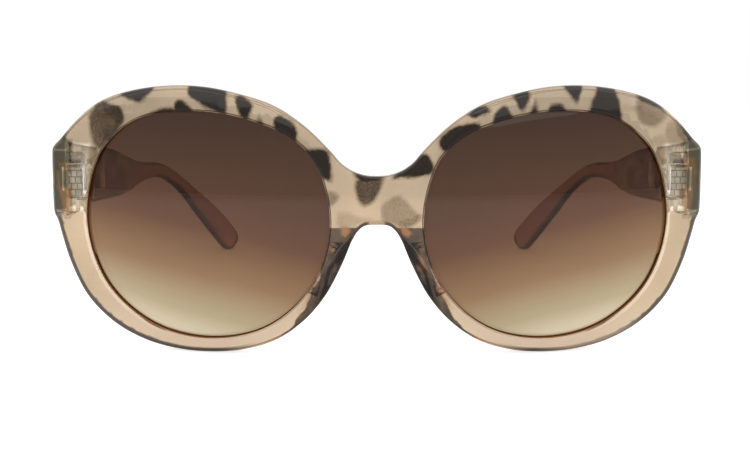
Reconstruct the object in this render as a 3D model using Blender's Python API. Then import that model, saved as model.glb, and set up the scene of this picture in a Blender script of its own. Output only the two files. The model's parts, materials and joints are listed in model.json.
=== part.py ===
"""Oversized round sunglasses: a moulded front, two tinted lenses and two folding temples.

Metres, +Z up. X runs across the wearer's face, with the wearer's left at +X, and -Y is the front.
The bottoms of the rims and the tips of the temples stand on Z = 0, as on a table.
"""

import math

import bmesh
import bpy
from mathutils import Vector
from mathutils.geometry import delaunay_2d_cdt

# Lens openings, as seen from the front
LENS_WIDTH = 0.0546
LENS_HEIGHT = 0.0500
BRIDGE_GAP = 0.0201  # between the two openings
# Round one opening from its temple side upwards, as shares of half its width and height
OPENING_SHARES = (
    (1.0, 0.0),
    (0.9, 0.57),
    (0.72, 0.815),
    (0.47, 0.965),
    (-0.05, 1.0),
    (-0.5, 0.885),
    (-0.725, 0.76),
    (-0.89, 0.565),
    (-1.0, 0.045),
    (-0.86, -0.48),
    (-0.485, -0.875),
    (0.0, -1.0),
    (0.48, -0.885),
    (0.85, -0.53),
)

# Rims round the openings: the brow above, the rim below
BROW_WIDTH = 0.0052
RIM_WIDTH = 0.0034
# Angle round the opening in degrees from its temple side, and the width there as a share of the brow's
BROW_WIDTH_SHARES = ((60, 1.29), (75, 1.13), (90, 1.0), (105, 0.92), (120, 0.85), (135, 0.70), (150, 0.80))
# The same below, as shares of the lower rim's width
RIM_WIDTH_SHARES = (
    (-4, 2.12),
    (-15, 1.95),
    (-30, 1.88),
    (-45, 1.68),
    (-60, 1.37),
    (-75, 1.12),
    (-90, 1.0),
    (-105, 1.02),
    (-120, 1.08),
    (-135, 1.07),
    (-150, 1.1),
    (-165, 1.2),
)
RIM_DEPTH = 0.0040  # front face to back face
EDGE_ROUND = 0.0010  # outer front edge
BACK_ROUND = 0.0008  # outer back edge
EYE_CHAMFER = 0.0004  # both edges of an opening

# Bridge
BRIDGE_TOP_RISE = 0.0114  # its upper edge above the middle of the lenses
BRIDGE_DEPTH = 0.0104  # upper edge to underside, at the middle
# Bridge edges, as shares of half the gap and of the bridge's depth above its upper edge or underside
BRIDGE_TOP_SHARES = ((0.27, 0.02), (0.53, 0.11), (0.78, 0.28))
BRIDGE_ARCH_SHARES = ((0.52, -0.31), (0.40, -0.125), (0.26, -0.02))

# Face form
FACE_RADIUS = 0.140  # bow of each rim and lens
WRAP = math.radians(8.0)  # each side leans back by this from the middle of its lens
BRIDGE_SOFTNESS = 0.0070  # rounds the ridge where the two sides meet

# Moulded nose pads
PAD_DEPTH = 0.0052  # behind the back of the rim
PAD_LENGTH = 0.0200
PAD_DROP = 0.0105  # middle of the pad below the bridge's underside
PAD_SPLAY = math.radians(24.0)

# End pieces: the front turns back to meet the temples
END_REACH = 0.0088  # opening to the outer side
END_RISE = 0.0099  # middle of the end piece above the middle of the lens
END_WALL = 0.0033  # side wall, as thick as the temple that it meets
BUTT_DEPTH = 0.0195  # the plane where end piece and temple meet, behind the bridge's face
BUTT_GAP = 0.0003
# Outer corner, as shares of the reach beyond the opening and of the temple's height above its middle
END_CORNER_SHARES = ((-0.40, 1.13), (0.27, 0.865), (0.76, 0.58), (0.92, 0.5), (0.985, 0.44), (1.0, 0.34))
END_FOOT_SHARES = ((1.0, 0.0), (1.0, -0.33), (0.98, -0.5), (0.89, -0.6))

# Lenses
LENS_THICKNESS = 0.0018
LENS_SEAT = 0.0020  # middle of the lens edge behind the rim's face
LENS_CLEARANCE = 0.0003
GROOVE_DEPTH = 0.0008
GROOVE_MOUTH = 0.0018
GROOVE_FLOOR = 0.0004
LENS_EDGE = 0.0002  # flat left on the bevelled edge
LENS_RING_SHARES = (0.86, 0.62, 0.34)

# Temples
TEMPLE_HEIGHT = 0.0154  # at the hinge
NECK_HEIGHT = 0.0045
TIP_HEIGHT = 0.0086
TEMPLE_REACH = 0.1163  # hinge end to the middle of the round tip
TEMPLE_INSET = 0.0163  # the tip's middle is this much nearer to the other temple
NECK_THICKNESS = 0.0028
TEMPLE_EDGE_ROUND = 0.0011
ROUND_LIMIT_SHARE = 0.9  # most that a rounded edge may take of half the thickness
# Along the temple: shares of its reach, of its drop, of its inset, and how much of the height beyond
# the neck's is the hinge end's and how much the tip's
TEMPLE_SHARES = (
    (0.0, 0.0, 0.0, 1.0, 0.0),
    (0.106, 0.023, 0.022, 0.86, 0.0),
    (0.235, 0.056, 0.052, 0.77, 0.0),
    (0.295, 0.079, 0.066, 0.65, 0.0),
    (0.356, 0.098, 0.081, 0.455, 0.0),
    (0.416, 0.104, 0.097, 0.215, 0.0),
    (0.493, 0.110, 0.114, 0.07, 0.0),
    (0.588, 0.130, 0.137, 0.018, 0.0),
    (0.665, 0.172, 0.157, 0.0, 0.0),
    (0.723, 0.232, 0.194, 0.0, 0.0),
    (0.780, 0.312, 0.262, 0.0, 0.03),
    (0.836, 0.428, 0.366, 0.0, 0.22),
    (0.886, 0.568, 0.508, 0.0, 0.62),
    (0.925, 0.692, 0.649, 0.0, 0.87),
    (0.962, 0.832, 0.809, 0.0, 1.0),
    (1.0, 1.0, 1.0, 0.0, 1.0),
)

# Hinges: two knuckles on the front, one on the temple
HINGE_DROP = 0.0009  # middle of the knuckles below the middle of the end piece
HINGE_INSET = 0.0003  # axis inside the inner face of the end wall
BARREL_RADIUS = 0.00135
KNUCKLE_HEIGHT = 0.0013
KNUCKLE_GAP = 0.0001
LEAF_THICKNESS = 0.0010
LEAF_CLEARANCE = 0.00015
FRONT_ARM = 0.0060  # axis to the front of the foot
FOOT_WIDTH = 0.0037
FOOT_HEIGHT = 0.0062
TEMPLE_ARM = 0.0090  # axis to the end of the anchor
ANCHOR_LENGTH = 0.0050
ANCHOR_HEIGHT = 0.0052
PIN_RADIUS = 0.0006
PIN_CLEARANCE = 0.0001
SCREW_HEAD_RADIUS = 0.0010
SCREW_HEAD_HEIGHT = 0.0005
SLOT_WIDTH = 0.0003
SLOT_DEPTH = 0.00025

# Bosses that hold the hinge leaves
BOSS_HEIGHT = 0.0078
BOSS_WIDTH = 0.0052  # inwards from the inner face of the end wall
BOSS_SETBACK = 0.0026  # back face of the front boss before the hinge axis
BOSS_ROUND = 0.0004
SHOULDER_HEIGHT = 0.0029  # low block above the boss
SHOULDER_SETBACK = 0.0042
RIB_WIDTH = 0.0026  # narrow block below the boss
RIB_HEIGHT = 0.0031
TEMPLE_BOSS_WIDTH = 0.0025
TEMPLE_BOSS_START = 0.0023  # behind the hinge axis
TEMPLE_BOSS_LENGTH = 0.0110
BARREL_CLEARANCE = 0.0003

# Facets
OUTLINE_STEP = 0.0018
OPENING_STEP = 0.0023
FACE_GRID = 0.0034
TEMPLE_STEP = 0.0048
ROUND_SIDES = 20
CORNER_STEPS = 3
TIP_STEPS = 5
SHARP_ANGLE = math.radians(32.0)
OVERRUN = 0.0010  # how far a cut or a join runs past a face
WELD_DISTANCE = 0.0000003  # vertices this close are one

# Places that follow from the sizes
LENS_X = (BRIDGE_GAP + LENS_WIDTH) / 2
LENS_Z = RIM_WIDTH + LENS_HEIGHT / 2
BRIDGE_TOP = LENS_Z + BRIDGE_TOP_RISE
BRIDGE_UNDERSIDE = BRIDGE_TOP - BRIDGE_DEPTH
OPENING_SIDE = LENS_X + LENS_WIDTH / 2
HALF_WIDTH = OPENING_SIDE + END_REACH
END_Z = LENS_Z + END_RISE
END_INNER_X = HALF_WIDTH - END_WALL
HINGE_X = END_INNER_X - HINGE_INSET
HINGE_Z = END_Z - HINGE_DROP
STACK_HEIGHT = 3 * KNUCKLE_HEIGHT + 2 * KNUCKLE_GAP
TIP_RADIUS = TIP_HEIGHT / 2
SIDES = (("right", -1), ("left", 1))

PLASTIC = (0.70, 0.49, 0.36)
LENS_TINT = (0.12, 0.055, 0.035)
STEEL = (0.62, 0.60, 0.56)


def face_y(x, z):
    """How far the face of the front lies behind the middle of the bridge at (x, z)."""
    reach = math.hypot(x, BRIDGE_SOFTNESS) - LENS_X
    bridge_reach = BRIDGE_SOFTNESS - LENS_X
    lean = (reach - bridge_reach) * math.tan(WRAP)
    bow = (reach**2 - bridge_reach**2 + (z - LENS_Z) ** 2) / (2 * FACE_RADIUS)
    return lean + bow


def between(before, start, end, after, steps):
    """Points from start up to end on a centripetal Catmull-Rom curve, without end itself."""
    points = (before, start, end, after)
    knots = [0.0]
    for a, b in zip(points, points[1:]):
        knots.append(knots[-1] + math.sqrt((b - a).length))
    curve = []
    for step in range(steps):
        t = knots[1] + (knots[2] - knots[1]) * step / steps
        near = [points[i].lerp(points[i + 1], (t - knots[i]) / (knots[i + 1] - knots[i])) for i in range(3)]
        far = [near[i].lerp(near[i + 1], (t - knots[i]) / (knots[i + 2] - knots[i])) for i in range(2)]
        curve.append(far[0].lerp(far[1], (t - knots[1]) / (knots[2] - knots[1])))
    return curve


def curve_through(points, spacing, closed):
    """Points about spacing apart on a smooth curve through the given ones."""
    last = len(points) if closed else len(points) - 1
    if closed:
        padded = [points[-1]] + points + points[:2]
    else:
        padded = [points[0] * 2 - points[1]] + points + [points[-1] * 2 - points[-2]]
    curve = []
    for i in range(last):
        before, start, end, after = padded[i : i + 4]
        steps = max(1, round((end - start).length / spacing))
        curve += between(before, start, end, after, steps)
    if not closed:
        curve.append(points[-1].copy())
    return curve


def opening_loop(side):
    """The lens opening's outline in X and Z, on one side."""
    points = [
        Vector((LENS_X + x * LENS_WIDTH / 2, LENS_Z + z * LENS_HEIGHT / 2)) for x, z in OPENING_SHARES
    ]
    loop = curve_through(points, OPENING_STEP, True)
    return [Vector((side * p.x, p.y)) for p in loop]


def rim_point(angle, width):
    """A point of the outer outline: the opening's edge in this direction, and the rim's width beyond."""
    centre = Vector((LENS_X, LENS_Z))
    direction = Vector((math.cos(math.radians(angle)), math.sin(math.radians(angle))))
    nearest = max(opening_loop(1), key=lambda p: (p - centre).normalized().dot(direction))
    return centre + direction * ((nearest - centre).length + width)


def half_outline():
    """The front's outline on the +X side, from the top of the bridge round to its underside."""
    half_gap = BRIDGE_GAP / 2
    points = [Vector((0, BRIDGE_TOP))]
    points += [Vector((x * half_gap, BRIDGE_TOP + z * BRIDGE_DEPTH)) for x, z in BRIDGE_TOP_SHARES]
    points += [rim_point(angle, share * BROW_WIDTH) for angle, share in reversed(BROW_WIDTH_SHARES)]
    for x, z in END_CORNER_SHARES + END_FOOT_SHARES:
        points.append(Vector((OPENING_SIDE + x * END_REACH, END_Z + z * TEMPLE_HEIGHT)))
    points += [rim_point(angle, share * RIM_WIDTH) for angle, share in RIM_WIDTH_SHARES]
    points += [Vector((x * half_gap, BRIDGE_UNDERSIDE + z * BRIDGE_DEPTH)) for x, z in BRIDGE_ARCH_SHARES]
    points.append(Vector((0, BRIDGE_UNDERSIDE)))
    # The curve crosses the middle square to it, as its mirror image does
    top = Vector((-points[1].x, points[1].y))
    bottom = Vector((-points[-2].x, points[-2].y))
    curve = curve_through([top] + points + [bottom], OUTLINE_STEP, False)
    start = min(range(len(curve)), key=lambda i: (curve[i] - points[0]).length)
    end = min(range(len(curve)), key=lambda i: (curve[i] - points[-1]).length)
    return curve[start : end + 1]


def full_outline():
    """The closed outline, clockwise as seen from the front."""
    half = half_outline()
    mirrored = [Vector((-p.x, p.y)) for p in reversed(half[1:-1])]
    return half + mirrored


def offset(loop, distance):
    """The loop moved by distance to the right of its own direction."""
    moved = []
    for i, p in enumerate(loop):
        along = (loop[(i + 1) % len(loop)] - loop[i - 1]).normalized()
        moved.append(p + Vector((along.y, -along.x)) * distance)
    return moved


def inside(p, loop):
    """Whether the point lies within the closed loop."""
    hit = False
    for i, a in enumerate(loop):
        b = loop[i - 1]
        if (a.y > p.y) != (b.y > p.y) and p.x < (b.x - a.x) * (p.y - a.y) / (b.y - a.y) + a.x:
            hit = not hit
    return hit


def pad_rise(x, z):
    """How far a nose pad stands behind the rim at this point of the outline."""
    if abs(x) > LENS_X:
        return 0.0
    share = (z - BRIDGE_UNDERSIDE + PAD_DROP) / PAD_LENGTH + 0.5
    if not 0 < share < 1:
        return 0.0
    return PAD_DEPTH * math.sin(math.pi * share) ** 2


def ring(bm, loop, depth):
    """Vertices of the loop at a depth behind the face."""
    return [bm.verts.new((p.x, face_y(p.x, p.y) + depth, p.y)) for p in loop]


def back_ring(bm, outline, inset, depth, wall):
    """A ring of the outer back edge: raised over the nose pads, and carried back round the end walls.

    wall gives the ring's X and Y on the end wall, from the outline's X and the face's Y there.
    """
    verts = []
    for p, moved in zip(outline, offset(outline, inset)):
        side = math.copysign(1, p.x)
        if abs(p.x) > LENS_X and abs(p.y - END_Z) < TEMPLE_HEIGHT / 2 + WELD_DISTANCE:
            x, y = wall(abs(p.x), face_y(p.x, p.y))
            verts.append(bm.verts.new((side * x, y, p.y)))
            continue
        rise = pad_rise(p.x, p.y)
        x = moved.x + side * rise * math.tan(PAD_SPLAY)
        verts.append(bm.verts.new((x, face_y(moved.x, moved.y) + depth + rise, moved.y)))
    return verts


def strip(bm, a, b):
    """Faces between two rings of as many vertices."""
    for i in range(len(a)):
        bm.faces.new((a[i - 1], a[i], b[i], b[i - 1]))


def fill_face(bm, outer, openings, depth):
    """Fills between the outer ring and the rings of the openings with a bowed face."""
    rings = [outer] + openings
    loops = [[Vector((v.co.x, v.co.z)) for v in verts] for verts in rings]
    points = [p for loop in loops for p in loop]
    verts = [v for verts in rings for v in verts]
    edges = []
    for loop in loops:
        start = len(edges)
        count = len(loop)
        edges += [(start + i, start + (i + 1) % count) for i in range(count)]
    columns = math.ceil(max(p.x for p in loops[0]) / FACE_GRID)
    rows = math.ceil(max(p.y for p in loops[0]) / FACE_GRID)
    border = list(points)
    for row in range(rows):
        for column in range(-columns, columns + 1):
            p = Vector(((column + row % 2 / 2) * FACE_GRID, row * FACE_GRID))
            if not inside(p, loops[0]) or any(inside(p, loop) for loop in loops[1:]):
                continue
            if min((p - q).length for q in border) < FACE_GRID / 2:
                continue
            points.append(p)
            verts.append(bm.verts.new((p.x, face_y(p.x, p.y) + depth, p.y)))
    found, _, triangles, origins, _, _ = delaunay_2d_cdt(points, edges, [], 0, WELD_DISTANCE)
    for triangle in triangles:
        middle = sum((found[i] for i in triangle), Vector((0, 0))) / 3
        if inside(middle, loops[0]) and not any(inside(middle, loop) for loop in loops[1:]):
            bm.faces.new([verts[origins[i][0]] for i in triangle])


def material(name, colour, roughness, metallic=0.0, transmission=0.0):
    """A Principled material."""
    made = bpy.data.materials.new(name)
    made.use_nodes = True
    shader = made.node_tree.nodes["Principled BSDF"]
    shader.inputs["Base Color"].default_value = (*colour, 1)
    shader.inputs["Roughness"].default_value = roughness
    shader.inputs["Metallic"].default_value = metallic
    shader.inputs["Transmission Weight"].default_value = transmission
    made.diffuse_color = (*colour, 1)
    return made


def add_object(name, bm, finish=None, location=(0, 0, 0)):
    """Makes a named object of a finished mesh, shaded smooth across its shallow edges."""
    bmesh.ops.remove_doubles(bm, verts=bm.verts, dist=WELD_DISTANCE)
    bmesh.ops.recalc_face_normals(bm, faces=bm.faces)
    mesh = bpy.data.meshes.new(name)
    bm.to_mesh(mesh)
    bm.free()
    mesh.shade_smooth()
    mesh.set_sharp_from_angle(angle=SHARP_ANGLE)
    if finish:
        mesh.materials.append(finish)
    made = bpy.data.objects.new(name, mesh)
    made.location = location
    bpy.context.scene.collection.objects.link(made)
    return made


def add_helper(name, bm, location=(0, 0, 0)):
    """Makes an object that only joins or cuts another."""
    made = add_object(name, bm, location=location)
    made.display_type = "WIRE"
    made.hide_render = True
    return made


def combine(target, other, operation):
    """Joins the other object to the target, or cuts it out."""
    modifier = target.modifiers.new(f"{operation} {other.name}", "BOOLEAN")
    modifier.operation = operation
    modifier.object = other
    modifier.solver = "EXACT"


def block(low, high):
    """A box between two corners."""
    bm = bmesh.new()
    bmesh.ops.create_cube(bm, size=1)
    for v in bm.verts:
        v.co = [a + (b - a) * (c + 0.5) for a, b, c in zip(low, high, v.co)]
    return bm


def mirrored_block(side, low, high):
    """A box given on the +X side, on either side."""
    corners = sorted((side * low[0], side * high[0]))
    return block((corners[0], low[1], low[2]), (corners[1], high[1], high[2]))


def prism(profile, z_low, z_high):
    """An upright prism over a profile in X and Y."""
    bm = bmesh.new()
    lower = [bm.verts.new((p.x, p.y, z_low)) for p in profile]
    upper = [bm.verts.new((p.x, p.y, z_high)) for p in profile]
    strip(bm, lower, upper)
    bm.faces.new(lower)
    bm.faces.new(upper)
    return bm


def circle(radius, centre=(0, 0), start=0.0, turn=math.tau):
    """Points on a circle or an arc in X and Y, with an arc's end left out of a whole circle."""
    sides = max(2, round(ROUND_SIDES * abs(turn) / math.tau))
    last = sides if turn == math.tau else sides + 1
    points = []
    for i in range(last):
        angle = start + turn * i / sides
        points.append(Vector(centre) + Vector((math.cos(angle), math.sin(angle))) * radius)
    return points


def add_bevel(target, width):
    """Rounds all edges of a block."""
    modifier = target.modifiers.new("Round", "BEVEL")
    modifier.width = width
    modifier.segments = 2
    modifier.limit_method = "ANGLE"


def front_plate():
    """The moulded front: rims, bridge, nose pads and the end pieces that turn back to the temples."""
    bm = bmesh.new()
    outline = full_outline()
    part = 1 - math.sqrt(0.5)
    front_edge = ((EDGE_ROUND, 0), (EDGE_ROUND * part, EDGE_ROUND * part), (0, EDGE_ROUND))
    rings = [ring(bm, offset(outline, inset), depth) for inset, depth in front_edge]
    butt = BUTT_DEPTH - BUTT_GAP / 2
    # The end wall runs back from the outline to the butt, and forward again on its inner face
    rings.append(back_ring(bm, outline, 0, RIM_DEPTH - BACK_ROUND, lambda x, y: (x, butt)))
    soft = BACK_ROUND * part
    rings.append(back_ring(bm, outline, soft, RIM_DEPTH - soft, lambda x, y: (END_INNER_X, butt)))
    rings.append(back_ring(bm, outline, BACK_ROUND, RIM_DEPTH, lambda x, y: (END_INNER_X, y + RIM_DEPTH)))
    for a, b in zip(rings, rings[1:]):
        strip(bm, a, b)

    groove = (
        (EYE_CHAMFER, 0),
        (0, EYE_CHAMFER),
        (0, LENS_SEAT - GROOVE_MOUTH / 2),
        (GROOVE_DEPTH, LENS_SEAT - GROOVE_FLOOR / 2),
        (GROOVE_DEPTH, LENS_SEAT + GROOVE_FLOOR / 2),
        (0, LENS_SEAT + GROOVE_MOUTH / 2),
        (0, RIM_DEPTH - EYE_CHAMFER),
        (EYE_CHAMFER, RIM_DEPTH),
    )
    eyes = []
    for _, side in SIDES:
        # A loop turns the other way round on the mirrored side
        loop = opening_loop(side)
        eye = [ring(bm, offset(loop, side * inset), depth) for inset, depth in groove]
        for a, b in zip(eye, eye[1:]):
            strip(bm, a, b)
        eyes.append(eye)
    fill_face(bm, rings[0], [eye[0] for eye in eyes], 0)
    fill_face(bm, rings[-1], [eye[-1] for eye in eyes], RIM_DEPTH)
    return bm


def barrel_space(side):
    """The round recess that clears the knuckles and the screw head in the end wall and in the temple."""
    low = HINGE_Z - STACK_HEIGHT / 2 - BARREL_CLEARANCE
    high = HINGE_Z + STACK_HEIGHT / 2 + KNUCKLE_GAP + SCREW_HEAD_HEIGHT + BARREL_CLEARANCE
    return prism(circle(BARREL_RADIUS + BARREL_CLEARANCE, (side * HINGE_X, BUTT_DEPTH)), low, high)


def make_front(plastic):
    """The front with its end pieces, hinge bosses and the pockets for the hinge leaves."""
    front = add_object("front_frame", front_plate(), plastic)
    for name, side in SIDES:
        inner = END_INNER_X - BOSS_WIDTH
        outer = END_INNER_X + OVERRUN
        half = BOSS_HEIGHT / 2
        rear = BUTT_DEPTH - BOSS_SETBACK
        deep = face_y(inner, HINGE_Z) + RIM_DEPTH - BACK_ROUND
        blocks = {
            "boss": ((inner, deep, HINGE_Z - half), (outer, rear, HINGE_Z + half)),
            "shoulder": (
                (inner + BOSS_ROUND, deep, HINGE_Z + half - OVERRUN),
                (outer, BUTT_DEPTH - SHOULDER_SETBACK, HINGE_Z + half + SHOULDER_HEIGHT),
            ),
            "rib": (
                (END_INNER_X - RIB_WIDTH, deep, HINGE_Z - half - RIB_HEIGHT),
                (outer, BUTT_DEPTH - SHOULDER_SETBACK, HINGE_Z - half + OVERRUN),
            ),
        }
        for title, (low, high) in blocks.items():
            helper = add_helper(f"{title}_{name}", mirrored_block(side, low, high))
            add_bevel(helper, BOSS_ROUND)
            combine(front, helper, "UNION")

        gap = LEAF_CLEARANCE
        leaf_in = HINGE_X - BARREL_RADIUS
        foot_front = BUTT_DEPTH - FRONT_ARM
        foot = (
            (leaf_in + LEAF_THICKNESS - FOOT_WIDTH - gap, foot_front - gap, HINGE_Z - FOOT_HEIGHT / 2 - gap),
            (leaf_in + LEAF_THICKNESS + gap, foot_front + LEAF_THICKNESS + gap, HINGE_Z + FOOT_HEIGHT / 2 + gap),
        )
        combine(front, add_helper(f"foot_pocket_{name}", mirrored_block(side, *foot)), "DIFFERENCE")
        arms = (
            (leaf_in - gap, foot_front, HINGE_Z - STACK_HEIGHT / 2 - gap),
            (leaf_in + LEAF_THICKNESS + gap, BUTT_DEPTH, HINGE_Z + STACK_HEIGHT / 2 + gap),
        )
        combine(front, add_helper(f"arm_slot_{name}", mirrored_block(side, *arms)), "DIFFERENCE")
        combine(front, add_helper(f"barrel_space_{name}", barrel_space(side)), "DIFFERENCE")
    return front


def make_lens(name, side, tint):
    """A bowed lens whose bevelled edge stands in the groove of its rim."""
    bm = bmesh.new()
    loop = opening_loop(side)
    edge = offset(loop, -side * LENS_CLEARANCE)
    tip = offset(loop, side * (GROOVE_DEPTH - LENS_CLEARANCE))
    front = LENS_SEAT - LENS_THICKNESS / 2
    back = LENS_SEAT + LENS_THICKNESS / 2
    centre = Vector((side * LENS_X, LENS_Z))
    shrunk = [[centre + (p - centre) * share for p in edge] for share in LENS_RING_SHARES]
    rings = [ring(bm, small, front) for small in reversed(shrunk)]
    rings.append(ring(bm, edge, front))
    rings.append(ring(bm, tip, LENS_SEAT - LENS_EDGE / 2))
    rings.append(ring(bm, tip, LENS_SEAT + LENS_EDGE / 2))
    rings.append(ring(bm, edge, back))
    rings += [ring(bm, small, back) for small in shrunk]
    for a, b in zip(rings, rings[1:]):
        strip(bm, a, b)
    for verts, depth in ((rings[0], front), (rings[-1], back)):
        middle = bm.verts.new((centre.x, face_y(centre.x, centre.y) + depth, centre.y))
        for i in range(len(verts)):
            bm.faces.new((verts[i - 1], verts[i], middle))
    return add_object(f"lens_{name}", bm, tint)


def temple_stations():
    """Along a temple on the +X side: its centre line, its height and its thickness."""
    start = Vector((HALF_WIDTH - END_WALL / 2, BUTT_DEPTH + BUTT_GAP / 2, END_Z))
    drop = END_Z - TIP_RADIUS
    keys = []
    for reach, fall, inset, butt, tip in TEMPLE_SHARES:
        place = start + Vector((-inset * TEMPLE_INSET, reach * TEMPLE_REACH, -fall * drop))
        height = NECK_HEIGHT + butt * (TEMPLE_HEIGHT - NECK_HEIGHT) + tip * (TIP_HEIGHT - NECK_HEIGHT)
        thickness = NECK_THICKNESS + butt * (END_WALL - NECK_THICKNESS)
        # The two widths ride along as further coordinates, so one curve smooths all
        keys.append(Vector((*place, height, thickness)))
    return curve_through(keys, TEMPLE_STEP, False)


def temple_section(bm, side, centre, height, thickness, along):
    """The rounded section of a temple across its own direction."""
    half_height = height / 2
    half_thickness = thickness / 2
    across = along.cross(Vector((0, 0, 1))).normalized()
    upwards = across.cross(along).normalized()
    radius = min(TEMPLE_EDGE_ROUND, half_height * ROUND_LIMIT_SHARE, half_thickness * ROUND_LIMIT_SHARE)
    verts = []
    for quarter in range(4):
        sx, sz = ((1, 1), (-1, 1), (-1, -1), (1, -1))[quarter]
        for step in range(CORNER_STEPS):
            angle = math.pi / 2 * (quarter + step / (CORNER_STEPS - 1))
            a = sx * (half_thickness - radius) + math.cos(angle) * radius
            b = sz * (half_height - radius) + math.sin(angle) * radius
            p = centre + across * a + upwards * b
            verts.append(bm.verts.new((side * p.x, p.y, p.z)))
    return verts


def make_temple(name, side, plastic, pivot):
    """A temple: broad at the hinge, a thin neck, and a round drop behind the ear."""
    bm = bmesh.new()
    stations = temple_stations()
    sections = []
    for i, station in enumerate(stations):
        before = stations[max(i - 1, 0)].to_3d()
        after = stations[min(i + 1, len(stations) - 1)].to_3d()
        along = (after - before).normalized() if i else Vector((0, 1, 0))
        sections.append(temple_section(bm, side, station.to_3d(), station[3], station[4], along))
    last = stations[-1]
    middle = last.to_3d()
    along = (middle - stations[-2].to_3d()).normalized()
    for step in range(1, TIP_STEPS):
        angle = math.pi / 2 * step / TIP_STEPS
        reach = TIP_RADIUS * math.sin(angle)
        beyond = max(0, reach - TIP_RADIUS + TEMPLE_EDGE_ROUND)
        thinned = TEMPLE_EDGE_ROUND - math.sqrt(TEMPLE_EDGE_ROUND**2 - beyond**2)
        thickness = NECK_THICKNESS - 2 * thinned
        height = TIP_HEIGHT * math.cos(angle)
        sections.append(temple_section(bm, side, middle + along * reach, height, thickness, along))
    for a, b in zip(sections, sections[1:]):
        strip(bm, a, b)
    bm.faces.new(sections[0])
    end = middle + along * TIP_RADIUS
    tip = bm.verts.new((side * end.x, end.y, end.z))
    for i in range(len(sections[-1])):
        bm.faces.new((sections[-1][i - 1], sections[-1][i], tip))
    bmesh.ops.translate(bm, verts=bm.verts, vec=-pivot.location)
    temple = add_object(f"temple_{name}", bm, plastic)
    temple.parent = pivot

    inner = END_INNER_X - TEMPLE_BOSS_WIDTH
    boss_low = (inner, BUTT_DEPTH + TEMPLE_BOSS_START, HINGE_Z - BOSS_HEIGHT / 2)
    boss_high = (
        END_INNER_X + END_WALL / 2,
        BUTT_DEPTH + TEMPLE_BOSS_START + TEMPLE_BOSS_LENGTH,
        HINGE_Z + BOSS_HEIGHT / 2,
    )
    boss = add_helper(f"temple_boss_{name}", mirrored_block(side, boss_low, boss_high))
    add_bevel(boss, BOSS_ROUND)
    combine(temple, boss, "UNION")

    gap = LEAF_CLEARANCE
    leaf_in = HINGE_X - BARREL_RADIUS
    leaf_out = leaf_in + LEAF_THICKNESS
    arm_half = KNUCKLE_HEIGHT / 2 + gap
    anchor_half = ANCHOR_HEIGHT / 2 + gap
    end_y = BUTT_DEPTH + TEMPLE_ARM + gap
    anchor_y = BUTT_DEPTH + TEMPLE_ARM - ANCHOR_LENGTH - gap
    pockets = {
        "arm": ((leaf_in - gap, BUTT_DEPTH, HINGE_Z - arm_half), (leaf_out + gap, end_y, HINGE_Z + arm_half)),
        "anchor": (
            (leaf_in - gap, anchor_y, HINGE_Z - anchor_half),
            (leaf_out + gap, end_y, HINGE_Z + anchor_half),
        ),
    }
    for title, (low, high) in pockets.items():
        pocket = add_helper(f"temple_{title}_pocket_{name}", mirrored_block(side, low, high))
        combine(temple, pocket, "DIFFERENCE")
    combine(temple, add_helper(f"temple_barrel_space_{name}", barrel_space(side)), "DIFFERENCE")
    return temple


def barrel_arc(facing):
    """The barrel's outline from the inner side of its arm round to the outer; the arm runs the facing way."""
    meet = math.acos(LEAF_THICKNESS / BARREL_RADIUS - 1)
    return circle(BARREL_RADIUS, (0, 0), math.pi, facing * (math.pi + meet))


def make_leaf(name, side, steel, pivot, profile, height, spaces):
    """A hinge leaf: a profile seen from above, cut between its knuckles and bored for the screw."""
    bm = prism([Vector((side * x, y)) for x, y in profile], -height / 2, height / 2)
    leaf = add_object(name, bm, steel)
    leaf.parent = pivot
    for i, (y_low, y_high, z_low, z_high) in enumerate(spaces):
        reach = BARREL_RADIUS + OVERRUN
        space = add_helper(f"{name}_space_{i}", block((-reach, y_low, z_low), (reach, y_high, z_high)))
        space.parent = pivot
        combine(leaf, space, "DIFFERENCE")
    half = height / 2 + OVERRUN
    hole = add_helper(f"{name}_pin_hole", prism(circle(PIN_RADIUS + PIN_CLEARANCE), -half, half))
    hole.parent = pivot
    combine(leaf, hole, "DIFFERENCE")
    return leaf


def make_front_leaf(name, side, steel, pivot):
    """The leaf moulded into the front: a foot and two knuckles."""
    outer = LEAF_THICKNESS - BARREL_RADIUS
    back = LEAF_THICKNESS - FRONT_ARM
    profile = barrel_arc(-1)
    profile += [(outer, -FRONT_ARM), (outer - FOOT_WIDTH, -FRONT_ARM), (outer - FOOT_WIDTH, back)]
    profile.append((-BARREL_RADIUS, back))
    stack = STACK_HEIGHT / 2
    past = BARREL_RADIUS + OVERRUN
    middle = KNUCKLE_HEIGHT / 2 + KNUCKLE_GAP
    spaces = (
        (back + LEAF_CLEARANCE, past, stack, FOOT_HEIGHT),
        (back + LEAF_CLEARANCE, past, -FOOT_HEIGHT, -stack),
        (-BARREL_RADIUS - BARREL_CLEARANCE, past, -middle, middle),
    )
    return make_leaf(f"hinge_front_{name}", side, steel, pivot, profile, FOOT_HEIGHT, spaces)


def make_temple_leaf(name, side, steel, pivot):
    """The leaf moulded into the temple: one knuckle and a broad anchor."""
    profile = barrel_arc(1)
    profile += [(LEAF_THICKNESS - BARREL_RADIUS, TEMPLE_ARM), (-BARREL_RADIUS, TEMPLE_ARM)]
    past = -BARREL_RADIUS - OVERRUN
    anchor = TEMPLE_ARM - ANCHOR_LENGTH
    middle = KNUCKLE_HEIGHT / 2
    spaces = ((past, anchor, middle, ANCHOR_HEIGHT), (past, anchor, -ANCHOR_HEIGHT, -middle))
    return make_leaf(f"hinge_temple_{name}", side, steel, pivot, profile, ANCHOR_HEIGHT, spaces)


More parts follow.
